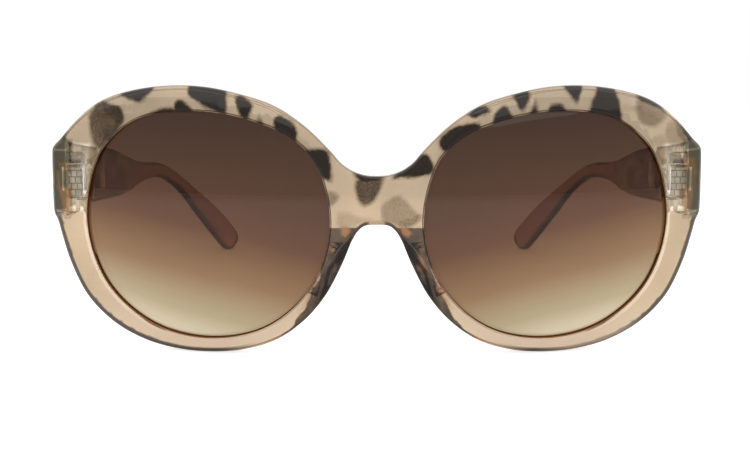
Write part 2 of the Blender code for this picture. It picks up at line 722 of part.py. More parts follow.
def make_screw(name, steel, pivot):
    """The hinge screw: a slotted head above the knuckles and a plain shank through them."""
    top = STACK_HEIGHT / 2 + KNUCKLE_GAP
    levels = (
        (PIN_RADIUS, -STACK_HEIGHT / 2),
        (PIN_RADIUS, top),
        (SCREW_HEAD_RADIUS, top),
        (SCREW_HEAD_RADIUS, top + SCREW_HEAD_HEIGHT),
    )
    bm = bmesh.new()
    rings = []
    for radius, level in levels:
        rings.append([bm.verts.new((p.x, p.y, level)) for p in circle(radius)])
    for a, b in zip(rings, rings[1:]):
        strip(bm, a, b)
    bm.faces.new(rings[0])
    bm.faces.new(rings[-1])
    screw = add_object(f"hinge_screw_{name}", bm, steel)
    screw.parent = pivot
    reach = SCREW_HEAD_RADIUS + OVERRUN
    head = top + SCREW_HEAD_HEIGHT
    slot = add_helper(
        f"screw_slot_{name}",
        block((-reach, -SLOT_WIDTH / 2, head - SLOT_DEPTH), (reach, SLOT_WIDTH / 2, head + OVERRUN)),
    )
    slot.parent = pivot
    combine(screw, slot, "DIFFERENCE")
    return screw


def add_pivot(name, side):
    """An empty on a hinge axis, which carries what turns about it."""
    pivot = bpy.data.objects.new(name, None)
    pivot.location = (side * HINGE_X, BUTT_DEPTH, HINGE_Z)
    bpy.context.scene.collection.objects.link(pivot)
    return pivot


def centre_on_origin():
    """Moves everything along Y, so that the origin lies under the middle of the whole."""
    graph = bpy.context.evaluated_depsgraph_get()
    places = []
    for made in bpy.context.scene.objects:
        if made.type == "MESH" and not made.hide_render:
            places += [(made.matrix_world @ v.co).y for v in made.evaluated_get(graph).data.vertices]
    middle = (min(places) + max(places)) / 2
    for made in bpy.context.scene.objects:
        if not made.parent:
            made.location.y -= middle


def main():
    """Builds the sunglasses, open."""
    for old in list(bpy.data.objects):
        bpy.data.objects.remove(old)
    plastic = material("peach_plastic", PLASTIC, 0.12, transmission=0.6)
    tint = material("brown_lens", LENS_TINT, 0.05, transmission=0.5)
    steel = material("hinge_steel", STEEL, 0.3, metallic=1.0)
    make_front(plastic)
    for name, side in SIDES:
        make_lens(name, side, tint)
        fixed = add_pivot(f"hinge_axis_{name}", side)
        turning = add_pivot(f"temple_axis_{name}", side)
        make_front_leaf(name, side, steel, fixed)
        make_screw(name, steel, fixed)
        make_temple(name, side, plastic, turning)
        make_temple_leaf(name, side, steel, turning)
    centre_on_origin()


if __name__ == "__main__":
    main()
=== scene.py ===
"""Oversized round sunglasses in printed peach plastic, dressed around the packed frame.

Metres, +Z up, with the wearer's left at +X and the front towards -Y. Each operator makes one group of
pieces: the front, the lenses, the temples, the hinges and the stage.
"""

import json
import math

import bmesh
import bpy
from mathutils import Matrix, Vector
from mathutils.geometry import delaunay_2d_cdt
from mathutils.kdtree import KDTree


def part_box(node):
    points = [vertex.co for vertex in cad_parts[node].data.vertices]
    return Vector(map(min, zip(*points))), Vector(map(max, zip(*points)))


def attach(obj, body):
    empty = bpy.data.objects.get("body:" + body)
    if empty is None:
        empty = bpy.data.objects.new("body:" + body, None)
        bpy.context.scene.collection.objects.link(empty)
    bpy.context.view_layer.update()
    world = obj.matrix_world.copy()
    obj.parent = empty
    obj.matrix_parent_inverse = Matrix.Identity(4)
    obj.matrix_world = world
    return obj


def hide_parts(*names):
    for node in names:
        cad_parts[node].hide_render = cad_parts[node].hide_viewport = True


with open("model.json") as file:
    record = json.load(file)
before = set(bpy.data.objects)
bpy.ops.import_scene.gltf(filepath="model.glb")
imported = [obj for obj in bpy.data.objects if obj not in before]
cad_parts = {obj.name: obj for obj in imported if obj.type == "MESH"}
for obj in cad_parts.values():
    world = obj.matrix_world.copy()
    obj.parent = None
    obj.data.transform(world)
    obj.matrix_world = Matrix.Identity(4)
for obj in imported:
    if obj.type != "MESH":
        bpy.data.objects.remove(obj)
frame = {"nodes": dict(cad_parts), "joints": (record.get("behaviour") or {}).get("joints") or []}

bl_info = {
    "name": "Round sunglasses",
    "version": (1, 0, 0),
    "blender": (4, 5, 0),
    "location": "3D View > Sidebar > Sunglasses",
    "description": "Moulds, prints and finishes a pair of round sunglasses around its frame",
    "category": "Add Mesh",
}

SIDES = (("right", -1), ("left", 1))
PIVOT_X, PIVOT_Y, PIVOT_Z = next(j["pos_m"] for j in frame["joints"] if j["child"] == "left_temple")
FLOOR_Z = min(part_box(node)[0].z for node in frame["nodes"])
FLOOR_TONE = (0.72, 0.72, 0.72, 1.0)
LAMPS = (("key_softbox", (-0.35, -0.60, 0.80), 1.1, 3.0), ("fill_softbox", (0.45, -0.55, 0.75), 1.1, 2.4))
LAMP_AIM = Vector((0.0, 0.0, 0.03))
MM = 0.001

# Round one lens opening from its temple side upwards, as shares of half its width and height
OPENING_SHARES = (
    (1.0, 0.0),
    (0.9, 0.57),
    (0.72, 0.815),
    (0.47, 0.965),
    (-0.05, 1.0),
    (-0.5, 0.885),
    (-0.725, 0.76),
    (-0.89, 0.565),
    (-1.0, 0.045),
    (-0.86, -0.48),
    (-0.485, -0.875),
    (0.0, -1.0),
    (0.48, -0.885),
    (0.85, -0.53),
)
# Angle round the opening in degrees from its temple side, and the width there as a share of the brow's
BROW_WIDTH_SHARES = ((60, 1.29), (75, 1.13), (90, 1.0), (105, 0.92), (120, 0.85), (135, 0.70), (150, 0.80))
# The same below, as shares of the lower rim's width
RIM_WIDTH_SHARES = (
    (-4, 2.12),
    (-15, 1.95),
    (-30, 1.88),
    (-45, 1.68),
    (-60, 1.37),
    (-75, 1.12),
    (-90, 1.0),
    (-105, 1.02),
    (-120, 1.08),
    (-135, 1.07),
    (-150, 1.1),
    (-165, 1.2),
)
# Bridge edges, as shares of half the gap and of the bridge's depth above its upper edge or underside
BRIDGE_TOP_SHARES = ((0.27, 0.02), (0.53, 0.11), (0.78, 0.28))
BRIDGE_ARCH_SHARES = ((0.52, -0.31), (0.40, -0.125), (0.26, -0.02))
# Outer corner, as shares of the reach beyond the opening and of the temple's height above its middle
END_CORNER_SHARES = ((-0.40, 1.13), (0.27, 0.865), (0.76, 0.58), (0.92, 0.5), (0.985, 0.44), (1.0, 0.34))
END_FOOT_SHARES = ((1.0, 0.0), (1.0, -0.33), (0.98, -0.5), (0.89, -0.6))
# The outer front edge from the face out to the side, as shares of the bevel's width and depth
EDGE_SHARES = (
    (1.25, 0.0),
    (1.0, 0.03),
    (0.78, 0.11),
    (0.56, 0.23),
    (0.36, 0.40),
    (0.18, 0.62),
    (0.06, 0.85),
    (0.0, 1.15),
)
# Along the temple: shares of its reach, of its drop, of its inset, and how much of the height beyond
# the neck's is the hinge end's and how much the tip's
TEMPLE_SHARES = (
    (0.0, 0.0, 0.0, 1.0, 0.0),
    (0.106, 0.023, 0.022, 0.86, 0.0),
    (0.235, 0.056, 0.052, 0.77, 0.0),
    (0.295, 0.079, 0.066, 0.65, 0.0),
    (0.356, 0.098, 0.081, 0.455, 0.0),
    (0.416, 0.104, 0.097, 0.215, 0.0),
    (0.493, 0.110, 0.114, 0.07, 0.0),
    (0.588, 0.130, 0.137, 0.018, 0.0),
    (0.665, 0.172, 0.157, 0.0, 0.0),
    (0.723, 0.232, 0.194, 0.0, 0.0),
    (0.780, 0.312, 0.262, 0.0, 0.03),
    (0.836, 0.428, 0.366, 0.0, 0.22),
    (0.886, 0.568, 0.508, 0.0, 0.62),
    (0.925, 0.692, 0.649, 0.0, 0.87),
    (0.962, 0.832, 0.809, 0.0, 1.0),
    (1.0, 1.0, 1.0, 0.0, 1.0),
)

# The print on the front: how dark each spot is, and its corners in millimetres across and up
FRONT_SPOTS = (
    (0.93, ((-57.0, 58.3), (-47.5, 60.0), (-49.5, 57.0), (-51.5, 55.6), (-53.0, 55.6), (-55.0, 56.6))),
    (0.62, ((-61.0, 55.5), (-59.0, 55.0), (-56.5, 53.5), (-55.5, 51.5), (-57.5, 48.5), (-61.0, 45.0),
            (-62.5, 47.0), (-63.2, 50.5), (-63.3, 52.5))),
    (0.67, ((-62.4, 55.2), (-58.8, 55.2), (-56.2, 53.6), (-55.3, 51.4), (-57.3, 48.2), (-59.4, 46.8),
            (-61.6, 51.0))),
    (0.76, ((-61.6, 55.6), (-58.6, 55.3), (-56.0, 53.7), (-55.2, 51.4), (-56.6, 49.4), (-58.6, 52.0),
            (-61.0, 54.2))),
    (0.95, ((-43.5, 52.8), (-43.0, 55.3), (-42.0, 55.7), (-41.0, 55.0), (-39.3, 52.8))),
    (0.90, ((-48.6, 52.6), (-46.0, 54.0), (-43.5, 53.6), (-44.0, 52.6))),
    (0.97, ((-40.0, 59.5), (-33.0, 59.5), (-32.3, 57.5), (-32.3, 54.5), (-32.8, 52.9), (-35.0, 53.8),
            (-38.3, 55.4), (-40.2, 57.2))),
    (0.97, ((-30.0, 56.3), (-29.0, 56.6), (-26.5, 55.0), (-27.0, 53.5), (-27.8, 52.0), (-28.8, 52.5),
            (-29.5, 54.5))),
    (0.80, ((-25.0, 52.0), (-24.4, 50.3), (-25.8, 50.4))),
    (1.00, ((-21.7, 52.0), (-20.5, 52.7), (-18.7, 51.7), (-17.5, 49.7), (-17.3, 46.8), (-19.5, 48.2),
            (-21.3, 49.7))),
    (0.93, ((-15.4, 45.3), (-10.8, 45.3), (-10.0, 44.3), (-10.0, 42.3), (-13.2, 42.3))),
    (0.93, ((-13.4, 43.0), (-10.0, 43.2), (-10.0, 39.2), (-11.8, 40.1))),
    (0.45, ((-10.8, 36.7), (-8.8, 36.1), (-8.4, 35.0), (-9.4, 33.7), (-10.8, 34.0))),
    (0.67, ((-4.9, 40.6), (1.5, 40.4), (1.2, 38.3), (-0.3, 35.3), (-2.8, 33.8), (-4.4, 34.7), (-4.9, 36.0),
            (-4.4, 38.0))),
    (0.84, ((-4.7, 41.2), (1.3, 41.0), (0.8, 38.9), (-3.6, 38.7))),
    (0.36, ((4.9, 35.7), (6.8, 34.0), (9.3, 31.0), (7.9, 29.8), (5.8, 29.1), (1.8, 30.5), (1.0, 32.0),
            (1.4, 33.8))),
    (0.46, ((5.6, 31.0), (8.9, 31.8), (9.3, 30.8), (8.0, 29.6), (5.8, 29.1), (3.4, 30.0))),
    (0.20, ((-8.2, 32.3), (-5.0, 31.4), (-1.5, 30.8), (-5.3, 29.3), (-7.6, 28.4), (-8.5, 30.8))),
    (0.92, ((9.8, 44.5), (11.2, 43.3), (12.0, 41.7), (11.6, 40.6), (9.2, 39.9), (3.7, 39.5), (4.1, 40.8),
            (7.2, 42.5))),
    (1.00, ((13.3, 47.2), (15.6, 49.6), (19.3, 50.8), (21.7, 50.3), (21.8, 49.2), (19.3, 47.8), (14.9, 44.6),
            (13.5, 46.0))),
    (0.97, ((19.6, 52.8), (21.2, 54.3), (22.9, 54.5), (23.7, 53.6), (22.3, 52.6), (20.6, 52.2))),
    (0.95, ((24.9, 50.3), (25.3, 53.0), (26.4, 54.2), (27.5, 54.2), (29.1, 51.6), (26.6, 50.6))),
    (0.95, ((29.1, 57.1), (30.5, 58.0), (32.3, 57.8), (32.1, 56.2), (30.8, 54.2), (29.7, 55.4))),
    (0.90, ((32.5, 52.4), (33.6, 54.9), (34.4, 52.4))),
    (0.92, ((36.7, 52.8), (37.7, 54.9), (39.1, 54.8), (40.6, 52.8))),
    (0.93, ((39.6, 59.8), (44.7, 59.8), (43.6, 57.3), (42.8, 55.0), (42.0, 56.3), (40.8, 57.6))),
    (0.88, ((47.6, 59.8), (52.0, 59.8), (52.3, 56.8), (52.9, 54.2), (54.2, 50.5), (50.3, 51.7), (45.1, 53.0),
            (46.0, 55.3), (46.9, 57.0))),
    (0.42, ((56.4, 58.2), (58.6, 58.0), (61.9, 56.0), (63.8, 53.6), (63.2, 51.8), (61.0, 50.0), (59.2, 50.2),
            (57.4, 51.6), (56.9, 54.4))),
    (0.78, ((56.3, 58.6), (62.2, 56.6), (64.0, 54.4), (60.0, 54.4), (57.2, 55.8))),
    (0.26, ((65.0, 51.5), (67.4, 50.6), (69.1, 47.3), (68.5, 45.8), (64.5, 46.5), (63.7, 48.5))),
    (0.46, ((66.4, 51.2), (68.6, 49.8), (69.6, 47.0), (68.2, 46.6), (66.6, 49.0))),
    (0.22, ((60.2, 46.8), (63.0, 48.2), (64.2, 47.0), (62.0, 46.0))),
    (0.85, ((-69.4, 48.7), (-73.9, 46.6), (-73.9, 44.9), (-69.8, 45.8))),
    (0.80, ((67.6, 50.2), (73.9, 46.0), (73.9, 44.6), (69.8, 46.4))),
)
# Amber flecks where the pads begin, and along the pads, in millimetres across and up
AMBER_ZONES = (
    ((-7.6, 28.9), (-6.3, 29.0), (-5.7, 28.2), (-6.6, 27.0), (-7.4, 27.4)),
    ((5.2, 28.9), (6.1, 29.0), (7.3, 27.8), (6.7, 26.9), (5.6, 27.5)),
    ((-9.9, 24.6), (-9.2, 24.8), (-8.9, 24.1), (-9.5, 23.8)),
    ((9.2, 22.4), (9.6, 22.2), (10.5, 20.2), (10.1, 20.0)),
    ((12.9, 15.6), (13.7, 16.4), (14.2, 15.2), (13.5, 14.6)),
)
# Painted light and shade in the ends, where one looks along their long walls, right end first: how strong,
# which paint, and the corners across and up. The paints are olive painted shade, amber painted light and a
# painted highlight line.
END_SHADE, END_LIGHT, END_HIGHLIGHT = range(3)
END_ZONES = (
    (0.94, END_SHADE, ((-75.0, 47.0), (-68.0, 47.0), (-68.0, 42.2), (-75.0, 41.6))),
    (0.90, END_SHADE, ((-75.0, 42.6), (-69.7, 42.4), (-71.5, 39.0), (-75.0, 39.0))),
    (0.94, END_SHADE, ((-75.0, 40.0), (-71.5, 40.0), (-71.0, 34.6), (-71.0, 30.0), (-75.0, 30.0))),
    (0.45, END_LIGHT, ((-71.2, 41.9), (-68.4, 42.0), (-68.3, 39.9), (-70.8, 39.9))),
    (0.75, END_LIGHT, ((-71.7, 40.0), (-70.5, 40.0), (-70.5, 36.2), (-71.7, 36.2))),
    (0.92, END_SHADE, ((-70.9, 40.2), (-69.2, 40.2), (-69.2, 36.0), (-70.9, 36.0))),
    (0.90, END_LIGHT, ((-71.4, 36.3), (-68.2, 36.3), (-68.2, 30.7), (-70.2, 30.7), (-70.6, 32.5), (-71.0, 34.3))),
    (0.50, END_HIGHLIGHT, ((-72.3, 45.0), (-69.4, 45.0), (-69.4, 44.7), (-72.3, 44.7))),
    (0.60, END_HIGHLIGHT, ((-72.0, 31.3), (-69.2, 31.0), (-69.2, 30.7), (-72.0, 31.0))),
    (0.94, END_SHADE, ((75.0, 47.0), (68.6, 47.0), (68.6, 43.2), (75.0, 42.4))),
    (0.94, END_SHADE, ((75.0, 43.6), (70.7, 43.2), (71.1, 39.3), (75.0, 39.3))),
    (0.94, END_SHADE, ((75.0, 40.0), (71.0, 40.0), (70.7, 34.0), (70.4, 30.0), (75.0, 30.0))),
    (0.60, END_LIGHT, ((71.0, 43.1), (67.9, 43.1), (67.9, 41.2), (69.0, 39.9), (71.6, 39.7))),
    (0.94, END_SHADE, ((70.9, 40.4), (69.1, 40.4), (69.1, 35.9), (70.9, 35.9))),
    (0.35, END_LIGHT, ((71.6, 40.2), (70.7, 40.2), (70.7, 36.6), (71.6, 36.6))),
    (0.80, END_LIGHT, ((71.0, 36.2), (68.2, 36.2), (68.3, 33.0), (69.2, 30.8), (70.2, 30.9), (70.7, 33.4))),
    (0.50, END_HIGHLIGHT, ((72.3, 45.3), (69.2, 45.0), (69.2, 44.7), (72.3, 45.0))),
    (0.60, END_HIGHLIGHT, ((72.0, 31.3), (69.0, 31.0), (69.0, 30.7), (72.0, 31.0))),
)
# The print on the temples, in millimetres behind the front and up
TEMPLE_SPOTS = (
    (0.48, ((42.6, 44.2), (50.6, 43.6), (49.6, 39.6), (46.6, 37.0), (44.0, 39.4))),
    (0.46, ((43.6, 36.6), (46.6, 35.8), (47.6, 32.6), (46.6, 30.4), (43.6, 30.6))),
    (0.48, ((49.6, 37.0), (53.6, 37.6), (57.0, 35.2), (54.2, 31.8), (50.0, 31.0))),
    (0.44, ((32.2, 45.4), (35.6, 45.2), (36.2, 40.0), (34.8, 36.2), (32.8, 39.0))),
    (0.41, ((37.8, 44.2), (40.2, 43.8), (40.8, 38.4), (39.2, 34.6), (37.6, 39.0))),
    (0.46, ((34.6, 34.6), (37.2, 34.2), (37.6, 31.0), (34.0, 30.2))),
    (0.50, ((25.4, 46.0), (29.8, 46.0), (31.0, 41.4), (28.2, 38.4), (25.2, 41.4))),
    (0.48, ((24.0, 35.6), (28.6, 36.6), (30.8, 33.0), (28.6, 30.4), (24.4, 30.4))),
    (0.44, ((20.0, 43.2), (22.8, 43.8), (23.4, 38.8), (21.6, 36.6), (20.0, 38.0))),
    (0.38, ((41.2, 40.6), (42.8, 40.0), (42.4, 35.6), (41.0, 36.4))),
    (0.38, ((58.4, 41.2), (63.0, 40.0), (62.2, 37.0), (59.2, 37.2))),
    (0.33, ((64.6, 36.6), (69.0, 36.0), (68.0, 33.6), (65.2, 33.8))),
    (0.30, ((53.4, 42.4), (56.2, 41.8), (55.6, 39.4), (53.6, 39.8))),
)


def length(label, text, default):
    """A size in metres, shown in the scene's unit."""
    return bpy.props.FloatProperty(
        name=label, description=text, default=default, min=0.0, unit="LENGTH", precision=5
    )


def colour(label, text, default):
    """A colour in linear values."""
    return bpy.props.FloatVectorProperty(
        name=label, description=text, default=default, subtype="COLOR", min=0.0, max=1.0
    )


def degrees(label, text, default):
    """An angle, whose default is given in degrees."""
    return bpy.props.FloatProperty(
        name=label, description=text, default=math.radians(default), subtype="ANGLE"
    )


def share(label, text, default):
    """A plain number from nothing up to 1."""
    return bpy.props.FloatProperty(name=label, description=text, default=default, min=0.0, max=1.0)


class FrontSizes(bpy.types.PropertyGroup):
    """Sizes of the moulded front."""

    lens_width: length("Lens width", "Width of one lens opening", 0.0546)
    lens_height: length("Lens height", "Height of one lens opening", 0.0500)
    bridge_gap: length("Bridge gap", "Distance between the two openings", 0.0201)
    brow_width: length("Brow width", "Width of the rim above the middle of a lens", 0.0052)
    rim_width: length("Rim width", "Width of the rim below the middle of a lens", 0.0034)
    rim_depth: length("Rim depth", "Front face to back face", 0.0040)
    bevel_width: length("Bevel width", "Width of the outer edge's bevel, seen from the front", 0.0010)
    bevel_depth: length("Bevel depth", "Depth of the outer edge's bevel", 0.0011)
    back_round: length("Back edge", "Radius of the outer back edge", 0.0008)
    eye_chamfer: length("Eye chamfer", "Chamfer on both edges of an opening", 0.0004)
    bridge_top_rise: length("Bridge rise", "Upper edge of the bridge above the middle of the lenses", 0.0114)
    bridge_depth: length("Bridge depth", "Upper edge of the bridge to its underside", 0.0104)
    face_radius: length("Face radius", "Bow of each rim and lens", 0.140)
    wrap: degrees("Wrap", "How far each side leans back", 8.0)
    bridge_softness: length("Bridge softness", "Rounds the ridge where the two sides meet", 0.0070)
    pad_depth: length("Pad depth", "Nose pad behind the back of the rim", 0.0052)
    pad_length: length("Pad length", "Length of a nose pad", 0.0200)
    pad_drop: length("Pad drop", "Middle of the pad below the bridge's underside", 0.0105)
    pad_width: length("Pad width", "Width of a nose pad at its foot", 0.0034)
    pad_splay: degrees("Pad splay", "Slant of a nose pad", 24.0)
    end_reach: length("End reach", "Lens opening to the outer side", 0.0088)
    end_rise: length("End rise", "Middle of the end piece above the middle of the lens", 0.0099)
    end_wall: length("End wall", "Thickness of the end piece's side wall", 0.0033)
    butt_depth: length("Butt depth", "Where end piece and temple meet, behind the bridge's face", 0.0195)
    butt_gap: length("Butt gap", "Gap between end piece and temple", 0.0003)
    groove_depth: length("Groove depth", "How deep the lens sits in the wall of its opening", 0.0004)


class LensSizes(bpy.types.PropertyGroup):
    """Sizes of the lenses."""

    thickness: length("Thickness", "Thickness of a lens", 0.0018)
    seat: length("Seat", "Middle of the lens edge behind the rim's face", 0.0020)
    clearance: length("Clearance", "Gap round a lens in its groove", 0.00015)
    edge: length("Edge", "Chamfer on both edges of a lens", 0.0001)


class TempleSizes(bpy.types.PropertyGroup):
    """Sizes of the temples."""

    height: length("Height", "Height at the hinge", 0.0154)
    neck_height: length("Neck height", "Height at the thinnest place", 0.0045)
    tip_height: length("Tip height", "Height of the round tip", 0.0086)
    reach: length("Reach", "Hinge end to the middle of the round tip", 0.1162)
    inset: length("Inset", "How much nearer the tips stand to each other", 0.0163)
    neck_thickness: length("Neck thickness", "Thickness behind the hinge end", 0.0028)
    edge_round: length("Edge", "Radius of the long edges", 0.0011)
    boss_width: length("Boss width", "Boss inside the temple, inwards from the end wall", 0.0025)
    boss_start: length("Boss start", "Front of the boss behind the hinge axis", 0.0023)
    boss_length: length("Boss length", "Length of the boss", 0.0110)


class HingeSizes(bpy.types.PropertyGroup):
    """Sizes of the hinges and of the bosses that hold them."""

    barrel_radius: length("Barrel radius", "Outer radius of a knuckle", 0.00135)
    knuckle_height: length("Knuckle height", "Height of one knuckle", 0.0013)
    knuckle_gap: length("Knuckle gap", "Gap between two knuckles", 0.0001)
    leaf_thickness: length("Leaf thickness", "Thickness of both leaves", 0.0010)
    leaf_clearance: length("Leaf clearance", "Gap round a leaf in its pocket", 0.00015)
    leaf_edge: length("Leaf edge", "Rounding of the leaves' edges", 0.00008)
    front_arm: length("Front arm", "Axis to the front of the foot", 0.0060)
    foot_width: length("Foot width", "Width of the foot", 0.0037)
    foot_height: length("Foot height", "Height of the foot", 0.0062)
    temple_arm: length("Temple arm", "Axis to the end of the anchor", 0.0090)
    anchor_length: length("Anchor length", "Length of the anchor", 0.0050)
    anchor_height: length("Anchor height", "Height of the anchor", 0.0052)
    pin_radius: length("Pin radius", "Radius of the screw's shank", 0.0006)
    pin_clearance: length("Pin clearance", "Gap round the shank", 0.0001)
    head_radius: length("Head radius", "Radius of the screw's head", 0.0010)
    head_height: length("Head height", "Height of the screw's head", 0.0005)
    slot_width: length("Slot width", "Width of the screw's slot", 0.0003)
    slot_depth: length("Slot depth", "Depth of the screw's slot", 0.00025)
    boss_height: length("Boss height", "Height of both bosses", 0.0078)
    boss_width: length("Boss width", "Front boss, inwards from the end wall", 0.0052)
    boss_setback: length("Boss setback", "Back of the front boss before the axis", 0.0026)
    boss_round: length("Boss edge", "Rounding of the bosses' edges", 0.0004)
    shoulder_height: length("Shoulder height", "Low block above the front boss", 0.0029)
    shoulder_setback: length("Shoulder setback", "Back of the low blocks before the axis", 0.0042)
    rib_width: length("Rib width", "Narrow block below the front boss", 0.0026)
    rib_height: length("Rib height", "Height of the narrow block", 0.0031)
    barrel_clearance: length("Barrel clearance", "Space round the knuckles", 0.0003)


class FinishChoices(bpy.types.PropertyGroup):
    """Colours and finishes."""

    plastic: colour("Plastic", "Milky peach of the moulded plastic", (0.50, 0.375, 0.245))
    # Painted light: the plastic low on the front is painted paler against the floor's shadow seen through it
    painted_light_low: colour("Pale plastic", "The same where it is thin or clear", (0.69, 0.54, 0.40))
    # Painted highlight, on the edges of the openings and in thin lines at the ends
    painted_highlight: colour("Bright edge", "Edges that catch the light", (0.85, 0.70, 0.54))
    plastic_grey: colour("Grey plastic", "Over the hinges", (0.78, 0.72, 0.58))
    smoke: colour("Smoke", "What greys the plastic of the brow and bridge", (0.28, 0.25, 0.205))
    print_taupe: colour("Thin print", "A spot where the print is thin", (0.165, 0.11, 0.062))
    print_dark: colour("Dark print", "A spot where the print is dense", (0.021, 0.0145, 0.010))
    # Painted shade on the outer edges, where the plastic looks dark
    painted_edge_shade: colour("Edge shade", "Outer edges, where the plastic darkens", (0.075, 0.058, 0.038))
    # Painted shade, on the walls of the lens openings and the edges of the lenses, for the shadow in the
    # grooves
    painted_groove_shade: colour("Wall shade", "Walls of the lens openings and edges of the lenses", (0.40, 0.21, 0.10))
    # Painted glow: emission from a lens's edge, for light that comes out of it
    painted_edge_glow: colour("Edge glow", "Light that comes out of a lens's edge", (0.27, 0.145, 0.075))
    amber: colour("Amber", "Clear amber of the tortoise parts", (0.40, 0.19, 0.09))
    tortoise: colour("Tortoise", "Dark brown of the tortoise parts", (0.074, 0.050, 0.034))
    pad_back: colour("Pad back", "Brown of the nose pads behind", (0.44, 0.35, 0.28))
    # Painted shade of the ends, which look dark where one sees along their long walls
    painted_end_shade: colour("Olive", "Ends, where the plastic is long along the view", (0.10, 0.088, 0.055))
    # Painted light in amber, for light that comes through the ends' walls
    painted_end_light: colour("Gold", "Amber patches in the ends", (0.38, 0.225, 0.10))
    temple_pale: colour("Pale temple", "Paler plastic of the temples' broad part", (0.92, 0.82, 0.73))
    streak_red: colour("Red streaks", "Streaks in the temples' broad part", (0.46, 0.19, 0.13))
    ear_tone: colour("Ear tone", "Redder plastic behind the ear", (0.68, 0.34, 0.21))
    lens_top: colour("Lens top", "Tint at the top of a lens", (0.043, 0.0235, 0.0145))
    lens_upper: colour("Lens upper part", "Tint above the middle of a lens", (0.074, 0.035, 0.021))
    lens_middle: colour("Lens middle", "Tint at the middle of a lens", (0.106, 0.049, 0.0265))
    lens_low: colour("Lens lower part", "Tint below the middle of a lens", (0.232, 0.136, 0.068))
    lens_foot: colour("Lens foot", "Tint low on a lens", (0.386, 0.316, 0.194))
    lens_bottom: colour("Lens bottom", "Tint at the bottom of a lens", (0.58, 0.50, 0.36))
    steel: colour("Hinge metal", "Plated nickel silver", (0.84, 0.81, 0.75))
    clearness: share("Clearness", "How much light goes through the plastic", 0.9)


class StageChoices(bpy.types.PropertyGroup):
    """Camera, lights and floor."""

    camera_distance: length("Camera distance", "Camera before the bridge's face", 0.180)
    camera_height: length("Camera height", "Camera above the floor", 0.0564)
    camera_shift: bpy.props.FloatProperty(
        name="Camera side", description="Camera to the right of the middle", default=-0.0004, unit="LENGTH"
    )
    camera_pitch: degrees("Camera pitch", "How far the camera looks down", 8.5)
    focal_length: bpy.props.FloatProperty(
        name="Focal length", description="Focal length in millimetres", default=40.85
    )
    floor_size: length("Floor", "Width of the floor", 6.0)
    floor_glow: share("Floor glow", "How much brighter the floor looks than its light makes it", 0.74)
    room_back: share("Room behind", "Brightness of the studio behind the sunglasses", 1.0)
    room_front: share("Room in front", "Brightness of the studio on the camera's side", 0.34)


def face_y(x, z, front):
    """How far the face of the front lies behind the middle of the bridge at (x, z)."""
    lens_x = (front.bridge_gap + front.lens_width) / 2
    lens_z = front.rim_width + front.lens_height / 2
    reach = math.hypot(x, front.bridge_softness) - lens_x
    bridge_reach = front.bridge_softness - lens_x
    lean = (reach - bridge_reach) * math.tan(front.wrap)
    bow = (reach**2 - bridge_reach**2 + (z - lens_z) ** 2) / (2 * front.face_radius)
    return lean + bow


class Places:
    """Places that follow from the sizes of the front and the temples."""

    def __init__(self, scene):
        front = scene.sunglasses_front
        lens_x = (front.bridge_gap + front.lens_width) / 2
        self.lens = Vector((lens_x, front.rim_width + front.lens_height / 2))
        self.bridge_top = self.lens.y + front.bridge_top_rise
        self.bridge_underside = self.bridge_top - front.bridge_depth
        self.opening_side = self.lens.x + front.lens_width / 2
        self.half_width = self.opening_side + front.end_reach
        self.end_z = self.lens.y + front.end_rise
        self.end_inner_x = self.half_width - front.end_wall
        self.face = PIVOT_Y - front.butt_depth  # the middle of the bridge's face, along Y
        self.wall_half = scene.sunglasses_temple.height / 2


def between(before, start, end, after, steps):
    """Points from start up to end on a centripetal Catmull-Rom curve, without end itself."""
    points = (before, start, end, after)
    knots = [0.0]
    for a, b in zip(points, points[1:]):
        knots.append(knots[-1] + math.sqrt((b - a).length))
    curve = []
    for step in range(steps):
        t = knots[1] + (knots[2] - knots[1]) * step / steps
        near = [points[i].lerp(points[i + 1], (t - knots[i]) / (knots[i + 1] - knots[i])) for i in range(3)]
        far = [near[i].lerp(near[i + 1], (t - knots[i]) / (knots[i + 2] - knots[i])) for i in range(2)]
        curve.append(far[0].lerp(far[1], (t - knots[1]) / (knots[2] - knots[1])))
    return curve


def curve_through(points, spacing, closed):
    """Points about spacing apart on a smooth curve through the given ones."""
    last = len(points) if closed else len(points) - 1
    if closed:
        padded = [points[-1]] + points + points[:2]
    else:
        padded = [points[0] * 2 - points[1]] + points + [points[-1] * 2 - points[-2]]
    curve = []
    for i in range(last):
        before, start, end, after = padded[i : i + 4]
        steps = max(1, round((end - start).length / spacing))
        curve += between(before, start, end, after, steps)
    if not closed:
        curve.append(points[-1].copy())
    return curve


# Spacing of the points on the openings, the outline, the face and the temples
OPENING_STEP = 0.0007
FRAME_STEP = 0.0023  # on the packed frame's openings, from which its rims are measured
OUTLINE_STEP = 0.0006
FACE_GRID = 0.0016
TEMPLE_STEP = 0.0012
WELD = 0.0000003  # points nearer than this are one
OVERRUN = 0.0010  # how far a cut runs past the surface it opens
# How far the marks for the edge's paint reach, in from the outline and back from the face
EDGE_REACH = 2.5 * MM
EDGE_PAINT_END = 1.7 * MM
# The outer bevel has this share of its size within this distance of the middle, and grows to full beyond
BRIDGE_BEVEL_END = 12 * MM
BRIDGE_BEVEL_SHARE = 0.4
WALL_START = 0.6  # eye_edge where the chamfer ends and the opening's wall begins
LIP_REACH = 1.0 * MM  # how far from the opening its ring on the face lies
LENS_MARGIN = 1.0 * MM  # how far inside the opening a lens has its first inner ring
SMOOTH_ANGLE = math.radians(35.0)  # edges sharper than this stay sharp
# How finely the round forms are drawn
BARREL_SIDES = 48
SCREW_SIDES = 40
CORNER_STEPS = 5  # round each long edge of a temple
TIP_STEPS = 12
LENS_RINGS = 14
MOST_ROUND = 0.45  # the most that a temple's edge may take of its height or thickness


